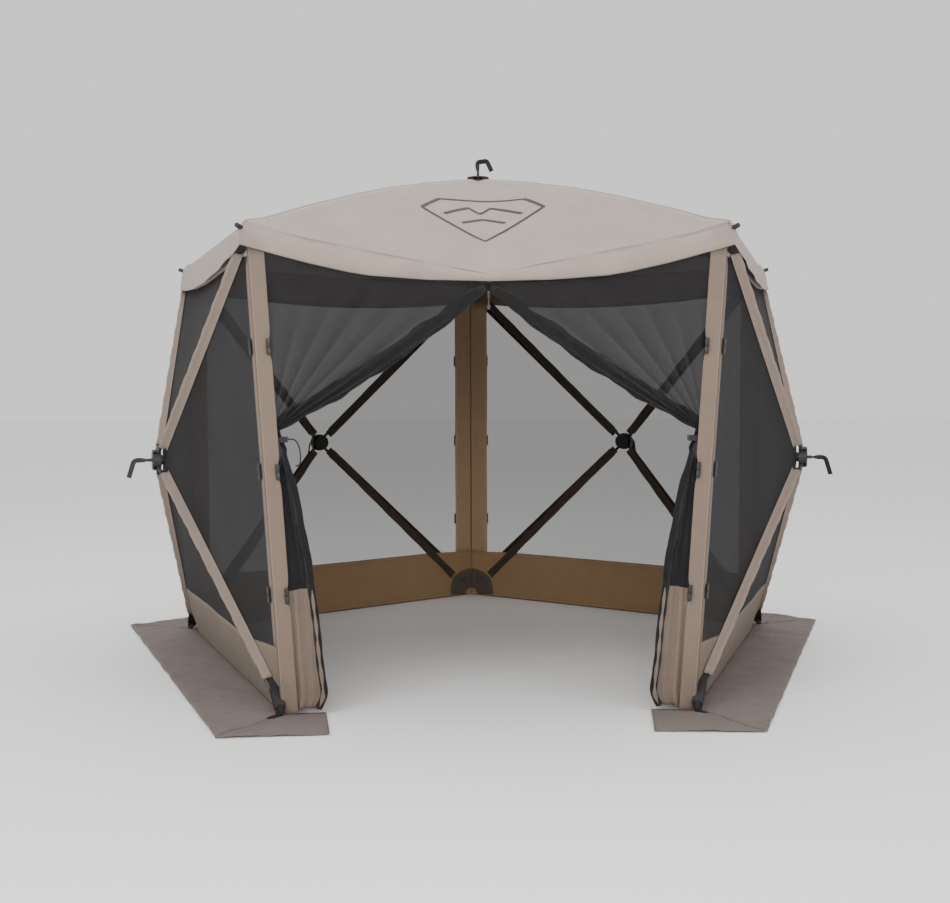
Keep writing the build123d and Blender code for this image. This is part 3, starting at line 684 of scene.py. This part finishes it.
# sleeves round the roof poles, under the cloth, in sleeve cloth darkened with painted shade
RH = V(0, YC, CT + RPOP)
for key, rn in {"fl": "front_left", "fr": "front_right", "r": "right", "b": "back", "l": "left"}.items():
    T = plan(key, CT)
    u = out(key)
    pin = RH + u * 0.048
    d = unit(T - pin)
    L = np.linalg.norm(T - pin)
    side = unit(np.cross(V(0, 0, 1), d))
    high = np.cross(d, side)
    if high[2] < 0:
        high = -high
    s = np.linspace(0.075, L - 0.132, 56)
    rows, uvr = [], []
    for x in s:
        c = pin + d * x
        wob = 0.0010 * math.sin(x * 51) + 0.0008 * math.sin(x * 113 + 1)
        row, uvs = [], []
        prof = [(-0.0016, 0.017), (-0.0030, 0.0105)] + [((0.0082 + wob) * math.sin(a), (0.0082 + wob) * math.cos(a)) for a in np.linspace(-0.42, -2 * math.pi + 0.42, 11)] + [(0.0030, 0.0105), (0.0016, 0.017)]
        for k, (sx, hh) in enumerate(prof):
            row.append(c + side * sx + high * hh)
            uvs.append((x, 0.066 * k / (len(prof) - 1)))
        rows.append(row)
        uvr.append(uvs)
    o = strip(f"roof_pole_{rn}_sleeve", rows, M_SLEEVE_PAINTED_SHADE, uvr, 0.0009)
    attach(o, f"roof_pole_{rn}")

# ------------------------------------------------------------------ ground skirt
def sk_out(k):
    if k in ("fl", "fr"):
        s = -1.0 if k == "fl" else 1.0
        return V(s * SKF, SKR * math.sin(math.radians(-54.0)) + YC, 0)
    return plan(k, 0, SKR)


def skirt_side(segments):
    """segments: list of (inner a, inner b, outer a, outer b, cells)"""
    cols, uvc, run = [], [], 0.0
    for n_, (ia, ib, oa, ob, cells) in enumerate(segments):
        for k in range(cells + (1 if n_ == len(segments) - 1 else 0)):
            f = k / cells
            a, b = ia * (1 - f) + ib * f, oa * (1 - f) + ob * f
            col, uc = [], []
            for j in range(15):
                g = j / 14
                p = a * (1 - g) + b * g
                rip = 0.0045 + 0.0040 * float(noise(p, 0.16, 21)) + 0.0030 * float(noise(p, 0.07, 22)) * g
                hem = 0.0022 if g > 0.95 else 0.0
                p = p + V(0, 0, 0.0012 + max(rip, 0.0) * smooth(g / 0.15) + hem)
                col.append(p)
                uc.append((run + f * np.linalg.norm(ob - oa), (1 - g) * 0.34))
            cols.append(col)
            uvc.append(uc)
        run += np.linalg.norm(ob - oa)
    P = np.array(cols).reshape(-1, 3)
    faces = grid_faces(len(cols), 15)
    nn = vert_normals(P, faces)
    if nn[:, 2].mean() < 0:
        faces = [f[::-1] for f in faces]
        nn = -nn
    return thicken(P, faces, np.array(uvc).reshape(-1, 2), nn, 0.0016)


SK = {"left_front_flap": [("fl", None)], "left": [("l", "fl")], "back_left": [("b", "l")], "back_right": [("r", "b")], "right": [("fr", "r")]}
first = True
for name, (ka, kb) in WALLS.items():
    P, F, U = skirt_side([(base(ka, 0, PRC - 0.014), base(kb, 0, PRC - 0.014), sk_out(ka), sk_out(kb), 70)])
    o = mesh_obj("ground_skirt_" + name, P, F, M_SKIRT, U)
    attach(o, "root")
    if first:
        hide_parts("ground_skirt")
        first = False
for s, key in ((-1.0, "fl"), (1.0, "fr")):
    i_, o_ = base(key, 0, PRC - 0.030), sk_out(key)
    P, F, U = skirt_side([(i_, V(s * 0.600, i_[1] + 0.012, 0), o_, V(s * 0.560, o_[1] + 0.026, 0), 26)])
    o = mesh_obj("ground_skirt_door_" + ("left" if s < 0 else "right"), P, F, M_SKIRT, U)
    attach(o, "root")

# ------------------------------------------------------------------ front corner bands, toggles, patches
def post_line(key, z, w):
    """Point in the door plane, w in from the front corner seam."""
    lo, hi = base(key, 0), base(key, EAVE)
    ev = unit(hi - lo)
    s = 1.0 if key == "fl" else -1.0
    p = lo + ev * (z / ev[2])
    wd = unit(V(s, 0, 0) - ev * (s * ev[0]))
    return p + wd * w


first = True
for key, nm in (("fl", "left"), ("fr", "right")):
    rows, uvr = [], []
    zs = np.linspace(0.004, 1.752, 90)
    for z in zs:
        row, uvs = [], []
        pinch = max(math.exp(-((z - t) / 0.035) ** 2) for t in (1.340, 0.890, 0.440))
        for wv in (0.0, 0.003, 0.009, 0.018, 0.028, 0.038, 0.047, 0.055, 0.060, 0.062):
            dep = 0.0105 - 0.004 * math.sin(math.pi * wv / 0.062) + 0.0012 * float(noise(V(wv * 4, 0, z * 1.6), 0.12, 31))
            wp = wv * (1 - 0.16 * pinch * (wv / 0.062))
            if wv < 0.003:
                dep = 0.0120
            # out round the corner fittings
            for zc in (CT, CB):
                dd = math.hypot(z - zc, wv)
                dep += 0.012 * (1 - float(smooth(dd / 0.12)))
            p = post_line(key, z, wp)
            row.append(V(p[0], FY + dep, z))
            uvs.append((z, wv))
        rows.append(row)
        uvr.append(uvs)
    o = strip(f"front_corner_band_{nm}", rows, M_BAND, uvr)
    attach(o, "root")
    if first:
        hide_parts("corner_bands")
        first = False


def bar_block(centre, ax, ay, az, sx, sy, sz, bev, verts, faces):
    """Rounded bar: a box with its long edges chamfered twice and a waist."""
    n0 = len(verts)
    prof = []
    for cx, cy, a0 in ((1, 1, 0), (-1, 1, 90), (-1, -1, 180), (1, -1, 270)):
        for a in (0, 30, 60, 90):
            r = math.radians(a0 + a)
            prof.append((cx * (sx / 2 - bev) + bev * math.cos(r), cy * (sz / 2 - bev) + bev * math.sin(r)))
    ys = [(-0.5, 0.72), (-0.47, 0.9), (-0.42, 1.0), (-0.12, 1.0), (-0.07, 0.80), (0.07, 0.80), (0.12, 1.0), (0.42, 1.0), (0.47, 0.9), (0.5, 0.72)]
    m_ = len(prof)
    for yy, sc in ys:
        for px, pz in prof:
            verts.append(centre + ax * px * sc + ay * yy * sy + az * pz * sc)
    for k in range(len(ys) - 1):
        for i in range(m_):
            a, b = n0 + k * m_ + i, n0 + k * m_ + (i + 1) % m_
            faces.append((a, b, b + m_, a + m_))
    faces.append(tuple(n0 + i for i in range(m_))[::-1])
    faces.append(tuple(n0 + (len(ys) - 1) * m_ + i for i in range(m_)))


def loop_cord(centre, ax, ay, az, r, verts, faces, turns=10):
    """Small cord loop round the toggle's waist."""
    n0 = len(verts)
    for k in range(turns):
        a = 2 * math.pi * k / turns
        c = centre + ax * (0.0098 * math.cos(a)) + az * (0.0058 * math.sin(a))
        rad = unit(ax * math.cos(a) + az * math.sin(a))
        for q in range(6):
            b = 2 * math.pi * q / 6
            verts.append(c + rad * (r * math.cos(b)) + ay * (r * math.sin(b)))
    for k in range(turns):
        for q in range(6):
            k2, q2 = (k + 1) % turns, (q + 1) % 6
            faces.append((n0 + k * 6 + q, n0 + k2 * 6 + q, n0 + k2 * 6 + q2, n0 + k * 6 + q2))


first = True
for name, w in WALL.items():
    verts, faces, wts = [], [], []
    for side_, (e0, e1) in enumerate(((("a", "b"), ("a", "t")), (("b", "b"), ("b", "t")))):
        lo, hi = w.corner[e0], w.corner[e1]
        ev = unit(hi - lo)
        sg = 1.0 if side_ == 0 else -1.0
        for z in (1.340, 0.890, 0.440):
            p = lo + ev * (z / ev[2]) + w.t * (sg * (0.0345 if e0 in (("a", "b"),) and w.keys[0] == "fr" or e0 in (("b", "b"),) and w.keys[1] == "fl" else 0.0895))
            q = w.loc(p)
            eps = 0.01
            h0, h1 = float(w.height(q[0], q[1])), float(w.height(q[0] + sg * eps, q[1]))
            tv = unit(w.t * sg + w.n * ((h1 - h0) / eps))
            nv = unit(np.cross(tv, V(0, 0, 1)))
            if nv @ w.n < 0:
                nv = -nv
            c = w.world(V(q[0], q[1], h0)) + nv * 0.0068
            n0 = len(verts)
            bar_block(c, tv, unit(ev), nv, 0.016, 0.058, 0.0085, 0.0028, verts, faces)
            loop_cord(c, tv, unit(ev), nv, 0.0016, verts, faces)
            wts += [float(w.weight(q[0], q[1]))] * (len(verts) - n0)
    o = mesh_obj(name + "_wall_toggles", verts, faces, M_TOGGLE)
    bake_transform(o, "root", name + "_hub", tuple(w.O + V(0, 0, HZ)), tuple(w.H))
    set_weights(o, wts)
    if first:
        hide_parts("corner_toggles")
        first = False
for key, nm in (("fl", "left"), ("fr", "right")):
    verts, faces = [], []
    for z in (1.340, 0.890, 0.440):
        p = post_line(key, z, 0.0540)
        c = V(p[0], FY + 0.0030, z)
        bar_block(c, V(1, 0, 0), unit(base(key, EAVE) - base(key, 0)), V(0, -1, 0), 0.016, 0.058, 0.0085, 0.0028, verts, faces)
        loop_cord(c, V(1, 0, 0), V(0, 0, 1), V(0, -1, 0), 0.0016, verts, faces)
    o = mesh_obj(f"front_corner_toggles_{nm}", verts, faces, M_TOGGLE)
    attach(o, "root")

first = True
for name, w in WALL.items():
    for sname, kk in (("a", 0), ("b", 1)):
        c0 = w.corner[sname, "b"]
        sg = 1.0 if sname == "a" else -1.0
        P, U, W, nr_, na_ = [], [], [], 7, 13
        for i in range(na_):
            ang = math.radians(4 + 84 * i / (na_ - 1))
            for j in range(nr_):
                r = 0.042 + (0.150 - 0.042) * j / (nr_ - 1)
                a_ = c0 + w.t * (sg * r * math.cos(ang)) + V(0, 0, r * math.sin(ang))
                q = w.loc(a_)
                d = np.linalg.norm(a_ - base(w.keys[kk], CB))
                h = float(w.height(q[0], q[1])) - 0.0040
                pt = w.world(V(q[0], q[1], h)) - out(w.keys[kk]) * (0.021 * (1 - float(smooth(d / 0.17))))
                P.append(pt)
                U.append((ang * 0.15, 0.150 - r))
                W.append(float(w.weight(q[0], q[1])))
        faces = grid_faces(na_, nr_)
        P = np.array(P)
        nn = vert_normals(P, faces)
        P, faces, U = thicken(P, faces, np.array(U), nn, 0.0012)
        o = mesh_obj(f"{name}_wall_patch_{sname}", P, faces, M_PATCH, U)
        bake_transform(o, "root", name + "_hub", tuple(w.O + V(0, 0, HZ)), tuple(w.H))
        set_weights(o, W + W)
        if first:
            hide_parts("corner_patches")
            first = False

# ------------------------------------------------------------------ door halves
YB = FY + 0.0120
N_WAVE, NQ = 7, 169


def amp_for(width_now, flat, cap):
    """Half depth of the pleats when a flat width is gathered into width_now."""
    lam = width_now / N_WAVE
    ratio = max(flat / max(width_now, 1e-4), 1.0)
    t = np.linspace(0, 2 * math.pi, 200)
    k_lo, k_hi = 0.0, 60.0
    for _ in range(40):
        k = (k_lo + k_hi) / 2
        if np.mean(np.sqrt(1 + (k * np.cos(t)) ** 2)) < ratio:
            k_lo = k
        else:
            k_hi = k
    return min(k_lo * lam / (2 * math.pi), cap)


def door_half(s, nm):
    key = "fl" if s < 0 else "fr"

    def post(z):
        return abs(post_line(key, z, 0.0)[0]) - 0.020

    q = np.linspace(0, 1, NQ)
    # top boundary: post top -> middle, along the brim, then down the closed zip to where the halves part
    def top_pt(f):
        if f < 0.84:
            x = post(1.69) + (0.006 - post(1.69)) * (f / 0.84)
            return x, min(float(crease_z(V(x)[0])) - 0.012, 1.690)
        g = (f - 0.84) / 0.16
        z0 = min(float(crease_z(V(0.006)[0])) - 0.012, 1.690)
        return 0.006, z0 + (1.540 - z0) * g

    tops = np.array([top_pt(f) for f in q])
    neck_hi = np.stack([post(1.040) + (0.762 - post(1.040)) * q, np.full(NQ, 1.040) + 0.002 * q], 1)
    neck_lo = np.stack([post(0.972) + (0.732 - post(0.972)) * q, np.full(NQ, 0.972)], 1)
    rows, uvs = [], []
    ph = 0.35
    flat_w = 0.80
    rr = np.concatenate([np.linspace(0, 1, 40) ** 0.85])
    for r in rr:  # 0 at the top boundary, 1 at the neck
        xz = tops * (1 - r) + neck_hi * r
        # the taut free edge hangs in a slack curve
        xz[:, 1] -= 0.030 * math.sin(math.pi * r) * q ** 6
        wd = np.hypot(*(xz[-1] - xz[0]))
        A = min(amp_for(wd, flat_w * (1 - 0.0 * r), 0.021), 0.021) * float(smooth(r / 0.35)) * (1 - 0.38 * float(smooth((r - 0.85) / 0.15)))
        y = YB + 0.0010 + float(smooth(r)) * 0.0185 - A * np.cos(2 * math.pi * N_WAVE * q + ph) * np.clip(0.35 + 1.3 * q, 0, 1) - 0.0
        y += 0.004 * noise(np.stack([xz[:, 0] * 3, xz[:, 1] * 1.2, 0 * q], 1), 0.5, 41) * float(smooth(r / 0.3) * smooth((1 - r) / 0.2))
        y = np.maximum(y, YB - 0.002)
        rows.append(np.stack([s * xz[:, 0], y, xz[:, 1]], 1))
        uvs.append(np.stack([q * flat_w, np.full(NQ, 1.69 - r * 0.65)], 1))
    for z in (1.022, 1.006, 0.990, 0.972):
        f = (1.040 - z) / (1.040 - 0.972)
        xz = neck_hi * (1 - f) + neck_lo * f
        squeeze = 1 - 0.03 * math.sin(math.pi * f)
        x = post(z) + (xz[:, 0] - post(z)) * squeeze
        y = YB + 0.0198 - 0.0128 * np.cos(2 * math.pi * N_WAVE * q + ph)
        rows.append(np.stack([s * x, y, xz[:, 1]], 1))
        uvs.append(np.stack([q * flat_w, np.full(NQ, z)], 1))
    EDGE = np.array([[0.008, 0.585], [0.11, 0.600], [0.57, 0.655], [0.79, 0.690], [0.976, 0.735]])
    split = None
    drape_z = np.concatenate([np.linspace(0.955, 0.02, 64)])
    low_rows, low_uv = [], []
    for z in drape_z:
        tilt = z
        f = (0.972 - z) / 0.96
        xe = float(np.interp(z, EDGE[:, 0], EDGE[:, 1]))
        # round the free corner at the foot
        if z < 0.10:
            xe += 0.05 * (1 - z / 0.10) ** 2
        wd = post(z) - xe
        A = amp_for(wd, flat_w, 0.0128 + 0.0125 * float(smooth(f / 0.12)))
        u5 = q * 5
        r5 = u5 - np.floor(np.minimum(u5, 4.9999))
        tri = np.where(np.floor(np.minimum(u5, 4.9999)) % 2 == 0, r5, 1 - r5)
        tri = 0.7 * tri + 0.3 * (0.5 - 0.5 * np.cos(math.pi * tri))
        fa = float(smooth((0.972 - z) / 0.11))
        xr = q * (1 - fa) + (0.04 * (1 - q) + tri * (0.96 + 0.04 * q)) * fa
        x = post(z) + (xe - post(z)) * xr
        ysin = 0.0198 - A * np.cos(2 * math.pi * N_WAVE * q + ph)
        fold = 0.0085 * np.sin(2 * math.pi * 1.7 * xr + 1.5 * z + 0.6) + 0.0045 * np.sin(2 * math.pi * 4.1 * xr - 2.3 * z) + 0.002 * noise(np.stack([x * 2, 0 * x, 0 * x + z * 0.7], 1), 0.16, 44)
        yacc = 0.0135 + (5 - u5) * 0.0085 + fold * smooth((0.972 - z) / 0.2)
        y = YB + ysin * (1 - fa) + yacc * fa
        rows.append(np.stack([s * x, y, np.full(NQ, z)], 1))
        uvs.append(np.stack([q * flat_w, np.full(NQ, z)], 1))
    P = np.array(rows)
    U = np.array(uvs)
    # the tan cloth begins 0.36 up at the post and 0.47 up at the free edge: rows are sheared so the seam is a grid line
    n0 = len(rr) + 4
    zline = 0.36 + 0.11 * q
    k = n0 + int(np.argmin(np.abs(drape_z - 0.415)))
    znow = P[k, :, 2].copy()
    for i in range(n0, len(rows)):
        z = P[i, :, 2]
        shift = (zline - znow) * np.clip(1 - np.abs(z - znow) / 0.34, 0, 1)
        P[i, :, 2] = z + shift
        U[i, :, 1] += shift
    nr_all = len(rows)
    for lo_, hi_, part in ((0, k, "mesh"), (k, nr_all - 1, "lower")):
        Q = P[lo_:hi_ + 1].reshape(-1, 3)
        UU = U[lo_:hi_ + 1].reshape(-1, 2)
        F = grid_faces(hi_ - lo_ + 1, NQ, flip=(s < 0))
        nn = vert_normals(Q, F)
        if nn[:, 1].mean() > 0:
            F = [f[::-1] for f in F]
            nn = -nn
        if part == "lower":
            Q, F, UU = thicken(Q, F, UU, nn, 0.0009)
            o = mesh_obj(f"door_{nm}_lower_cloth", Q, F, M_DOOR_LOW, UU)
        else:
            o = mesh_obj(f"door_{nm}_mesh", Q, F, M_DOOR, UU)
        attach(o, "root")
    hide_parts(f"door_{nm}")
    # zip tape and gathered hem down the free edge, from the meeting point to the tie and on to the foot
    edge = P[:, -1, :]
    start = int(0)
    pts = edge[start:]
    # along the taut edge, a flattened roll; its width grows towards the tie
    d = np.gradient(pts, axis=0)
    d /= np.linalg.norm(d, axis=1)[:, None]
    seglen = np.concatenate([[0], np.cumsum(np.linalg.norm(np.diff(pts, axis=0), axis=1))])
    rows2, uv2 = [], []
    nring = 16
    for i, (p, dd) in enumerate(zip(pts, d)):
        in_plane = unit(np.cross(dd, V(0, 1, 0)))
        if in_plane[0] * s < 0:  # towards the post
            in_plane = -in_plane
        zz = p[2]
        if i < len(rr):
            r = rr[i]
            wdt = 0.026 + 0.034 * math.sin(math.pi * min(r * 0.9, 1.0)) ** 0.6 + 0.005 * math.sin(seglen[i] * 31)
            th = 0.0045 + 0.004 * r
            c = p + in_plane * (wdt * 0.38) + V(0, -0.002, 0)
            c[1] = YB - 0.001 + 0.014 * float(smooth(r / 0.9)) + 0.003 * float(smooth(r / 0.2))
        elif i < n0:
            wdt, th = 0.016, 0.0035
            c = p + in_plane * 0.006
            c[1] = YB + 0.0195
        else:
            g = min(1.0, (i - n0) / 6)
            wdt, th = 0.016 + 0.010 * g, 0.0035 + 0.001 * g
            c = p + in_plane * 0.008
        c = c + V(0, 0.0015 * math.sin(seglen[i] * 70), 0)
        row = []
        for a in range(nring):
            t = 2 * math.pi * a / nring
            fold = 1 + 0.16 * math.sin(3 * t + seglen[i] * 26) + 0.08 * math.sin(5 * t - seglen[i] * 41)
            row.append(c + in_plane * (0.5 * wdt * math.cos(t) * fold) + V(0, 1, 0) * (th * math.sin(t) * fold))
        rows2.append(row)
        uv2.append([(seglen[i], wdt * abs(math.sin(math.pi * a / nring))) for a in range(nring)])
    verts = np.array(rows2).reshape(-1, 3)
    F = []
    for i in range(len(rows2) - 1):
        for a in range(nring):
            a2 = (a + 1) % nring
            F.append((i * nring + a, i * nring + a2, (i + 1) * nring + a2, (i + 1) * nring + a))
    F.append(tuple(range(nring))[::-1])
    F.append(tuple((len(rows2) - 1) * nring + a for a in range(nring)))
    o = mesh_obj(f"door_{nm}_edge_tape", verts, F, M_DOOR_EDGE, np.array(uv2).reshape(-1, 2))
    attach(o, "root")
    return P


DOORP = {nm: door_half(s, nm) for s, nm in ((-1.0, "left"), (1.0, "right"))}

# ------------------------------------------------------------------ pull straps: doubled webbing round the bar
def fillet_path(pts, r, step=0.004):
    pts = [np.array(p, float) for p in pts]
    outp = [pts[0]]
    for a, b, c in zip(pts, pts[1:], pts[2:]):
        u, v = unit(a - b), unit(c - b)
        ang = math.acos(np.clip(u @ v, -1, 1))
        d = r / math.tan(ang / 2)
        p0, p1 = b + u * d, b + v * d
        cen = b + unit(u + v) * (r / math.sin(ang / 2))
        for k in range(11):
            f = k / 10
            q = p0 * (1 - f) + p1 * f
            outp.append(cen + unit(q - cen) * r)
    outp.append(pts[-1])
    res = [outp[0]]
    for a, b in zip(outp, outp[1:]):
        L = np.linalg.norm(b - a)
        n_ = max(1, int(L / step))
        res += [a + (b - a) * (k / n_) for k in range(1, n_ + 1)]
    return np.array(res)


def webbing(name, origin, xd, zd, kind, body, node):
    yd = np.cross(zd, xd)
    if kind == "drop":
        line = fillet_path([(0, 0, .0055), (0, 0, .060), (0, -.072, .082)], .020)
    else:
        line = fillet_path([(0, 0, .0055), (0, .004, .054), (0, -.040, .060), (0, -.062, .014)], .013)
    # round the bar first: a loop of webbing, then doubled and stitched
    loop = [(0, 0.0048 * math.sin(a), 0.0048 * math.cos(a)) for a in np.linspace(2 * math.pi - 0.35, 0.35, 16)]
    path = np.vstack([np.array(loop), line + np.array([0, 0.0, 0.0])])
    dirs = np.gradient(path, axis=0)
    dirs /= np.maximum(np.linalg.norm(dirs, axis=1)[:, None], 1e-9)
    rows, uvr = [], []
    run = 0.0
    xs = np.array([-.0120, -.0112, -.0085, -.0050, -.0015, .0015, .0050, .0085, .0112, .0120])
    for i, (p, d) in enumerate(zip(path, dirs)):
        if i:
            run += np.linalg.norm(path[i] - path[i - 1])
        nrm = unit(np.cross(np.array([1.0, 0, 0]), d))
        tw = math.radians(48.0) * float(smooth((run - 0.012) / 0.05)) if i >= 16 else 0.0
        wide = np.array([1.0, 0, 0]) * math.cos(tw) + nrm * math.sin(tw)
        nrm = nrm * math.cos(tw) - np.array([1.0, 0, 0]) * math.sin(tw)
        dbl = 0.0011 if i < 16 else (0.0042 if run < 0.070 else 0.0036)
        ring = []
        ring_uv = []
        for sgn in (1, -1):
            for x in (xs if sgn > 0 else xs[::-1]):
                rib = 0.00022 * math.cos(x * 1250) + 0.00012 * math.sin(run * 2400)
                edge_ = 0.55 if abs(x) > 0.0115 else 1.0
                q = p + wide * x + nrm * sgn * (dbl / 2 * edge_ + rib)
                ring.append(origin + xd * q[0] + yd * q[1] + zd * q[2])
                ring_uv.append((run, x + 0.012))
        rows.append(ring)
        uvr.append(ring_uv)
    m_ = len(rows[0])
    verts = np.array(rows).reshape(-1, 3)
    F = []
    for i in range(len(rows) - 1):
        for a in range(m_):
            a2 = (a + 1) % m_
            F.append((i * m_ + a, i * m_ + a2, (i + 1) * m_ + a2, (i + 1) * m_ + a))
    F.append(tuple(range(m_))[::-1])
    F.append(tuple((len(rows) - 1) * m_ + a for a in range(m_)))
    o = mesh_obj(name, verts, F, M_WEB, np.array(uvr).reshape(-1, 2))
    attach(o, body)
    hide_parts(node)
    return o


for name, w in WALL.items():
    M = (plan(w.keys[0], HZ) + plan(w.keys[1], HZ)) / 2
    bar = M + w.n * (POP + 0.034)
    webbing(name + "_pull_webbing", bar, unit(np.cross(V(0, 0, 1), w.n)), w.n, "drop", name + "_pull_strap", name + "_pull_strap")
webbing("roof_pull_webbing", V(0, YC, APEX + 0.003 + 0.019), V(0, 1, 0), V(0, 0, 1), "loop", "roof_pull_strap", "roof_pull_strap")

# ------------------------------------------------------------------ plain mountain emblem on the front of the roof
def on_panel(fx, fv):
    """Point on the front panel: fx across (0..1), fv down (0 at the top)."""
    a = np.clip(fx * NS, 0, NS - 1e-6)
    i0 = int(a)
    fi = a - i0
    j = np.interp(fv, VS, np.arange(len(VS)))
    j0 = min(int(j), len(VS) - 2)
    fj = j - j0
    A_, B_ = rows_front[i0], rows_front[i0 + 1]
    return (A_[j0] * (1 - fi) + B_[j0] * fi) * (1 - fj) + (A_[j0 + 1] * (1 - fi) + B_[j0 + 1] * fi) * fj


def emblem_piece(name, outlines):
    verts, faces, uv, wts = [], [], [], []
    for line, wd in outlines:
        n0 = len(verts)
        L = 0.0
        for k, (ex, ey) in enumerate(line):
            if k:
                L += math.hypot(ex - line[k - 1][0], ey - line[k - 1][1])
            a = line[max(k - 1, 0)]
            b = line[min(k + 1, len(line) - 1)]
            tx, ty = b[0] - a[0], b[1] - a[1]
            tl = math.hypot(tx, ty) or 1
            nx, ny = -ty / tl, tx / tl
            for o_ in (-0.5, 0.5):
                px, py = ex + nx * wd * o_, ey + ny * wd * o_
                # py is metres down the panel from the apex, px metres across
                fv = py / 1.30
                fx = 0.5 + px / (1.74 * fv)
                p = on_panel(fx, fv)
                verts.append(p + V(0, -0.0007, 0.0022))
                uv.append((L, (o_ + 0.5) * wd))
                wts.append(float(np.clip((1 - fv) / (1 - 0.0324), 0, 1)))
        for k in range(len(line) - 1):
            faces.append((n0 + 2 * k, n0 + 2 * k + 1, n0 + 2 * k + 3, n0 + 2 * k + 2))
    P = np.array(verts)
    nn = vert_normals(P, faces)
    if nn[:, 2].mean() < 0:
        faces = [f[::-1] for f in faces]
    o = mesh_obj(name, P, faces, M_EMBLEM, np.array(uv))
    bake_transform(o, "root", "roof_hub", (0, YC, EAVE), (0, YC, APEX))
    set_weights(o, wts)


def dense(line, step=0.012):
    res = [line[0]]
    for a, b in zip(line, line[1:]):
        n_ = max(1, int(math.hypot(b[0] - a[0], b[1] - a[1]) / step))
        res += [(a[0] + (b[0] - a[0]) * k / n_, a[1] + (b[1] - a[1]) * k / n_) for k in range(1, n_ + 1)]
    return res


rows_front = [np.array(ROOF_ROWS[k][:len(VS)]) for k in range(NS + 1)]
hexa = [(-0.245, 0.70), (-0.175, 0.545), (0.0, 0.44), (0.175, 0.545), (0.245, 0.70), (0.0, 0.97), (-0.245, 0.70)]
peaks1 = [(-0.155, 0.72), (-0.055, 0.575), (-0.015, 0.63), (0.035, 0.56), (0.155, 0.72)]
peaks2 = [(-0.085, 0.79), (0.0, 0.70), (0.085, 0.79)]
emblem_piece("roof_emblem", [(dense(hexa), 0.016), (dense(peaks1), 0.018), (dense(peaks2), 0.016)])

# ------------------------------------------------------------------ small black tie tail beside the left tie
def tube(name, pts, r, mat, body="root"):
    pts = np.array(pts, float)
    d = np.gradient(pts, axis=0)
    d /= np.linalg.norm(d, axis=1)[:, None]
    verts, F, uv = [], [], []
    ref = V(0.3, 1, 0.2)
    L = 0.0
    for i, (p, t) in enumerate(zip(pts, d)):
        if i:
            L += np.linalg.norm(pts[i] - pts[i - 1])
        a = unit(np.cross(t, ref))
        b = np.cross(t, a)
        for k in range(8):
            g = 2 * math.pi * k / 8
            verts.append(p + a * r * math.cos(g) + b * r * math.sin(g))
            uv.append((L, 0.0018 * k))
    for i in range(len(pts) - 1):
        for k in range(8):
            k2 = (k + 1) % 8
            F.append((i * 8 + k, i * 8 + k2, (i + 1) * 8 + k2, (i + 1) * 8 + k))
    F.append(tuple(range(8))[::-1])
    F.append(tuple((len(pts) - 1) * 8 + k for k in range(8)))
    o = mesh_obj(name, verts, F, mat, np.array(uv))
    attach(o, body)
    return o


for sg, nm in ((-1.0, "left"),):
    c = V(sg * 0.728, YB + 0.030, TIE_Z0)
    a_ = np.linspace(0, 1, 30)
    pts = [c + V(-sg * (0.030 * math.sin(math.pi * t) + 0.028 * t), 0.004 * math.sin(6 * t), -0.095 * t + 0.018 * math.sin(2 * math.pi * t)) for t in a_]
    tail = tube(f"door_tie_tail_{nm}", pts, 0.0028, M_WEB)

# ------------------------------------------------------------------ CAD pieces keep their shape and get their finish
for n_, o in NODES.items():
    mt = None
    if "_pole_" in n_:
        mt = M_POLE
    elif n_.endswith("_hub_pins"):
        mt = M_STEEL
    elif n_.endswith("_hub") or n_.endswith("_hub_cap") or n_.endswith("_fittings"):
        mt = M_MOULD
    elif n_ == "door_ties":
        mt = M_WEB
    elif n_.startswith("door_zip"):
        mt = M_ZIP
    if mt is not None:
        o.data.materials.clear()
        o.data.materials.append(mt)

# ------------------------------------------------------------------ floor
floor_me = bpy.data.meshes.new("floor")
floor_me.from_pydata([(-40, -40, -0.0005), (40, -40, -0.0005), (40, 40, -0.0005), (-40, 40, -0.0005)], [], [(0, 1, 2, 3)])
floor = bpy.data.objects.new("floor", floor_me)
bpy.context.scene.collection.objects.link(floor)
M_FLOOR, nt_, b_ = new_mat("floor_pale")
b_.inputs["Base Color"].default_value = (0.94, 0.94, 0.94, 1)
b_.inputs["Roughness"].default_value = 0.9
floor_me.materials.append(M_FLOOR)
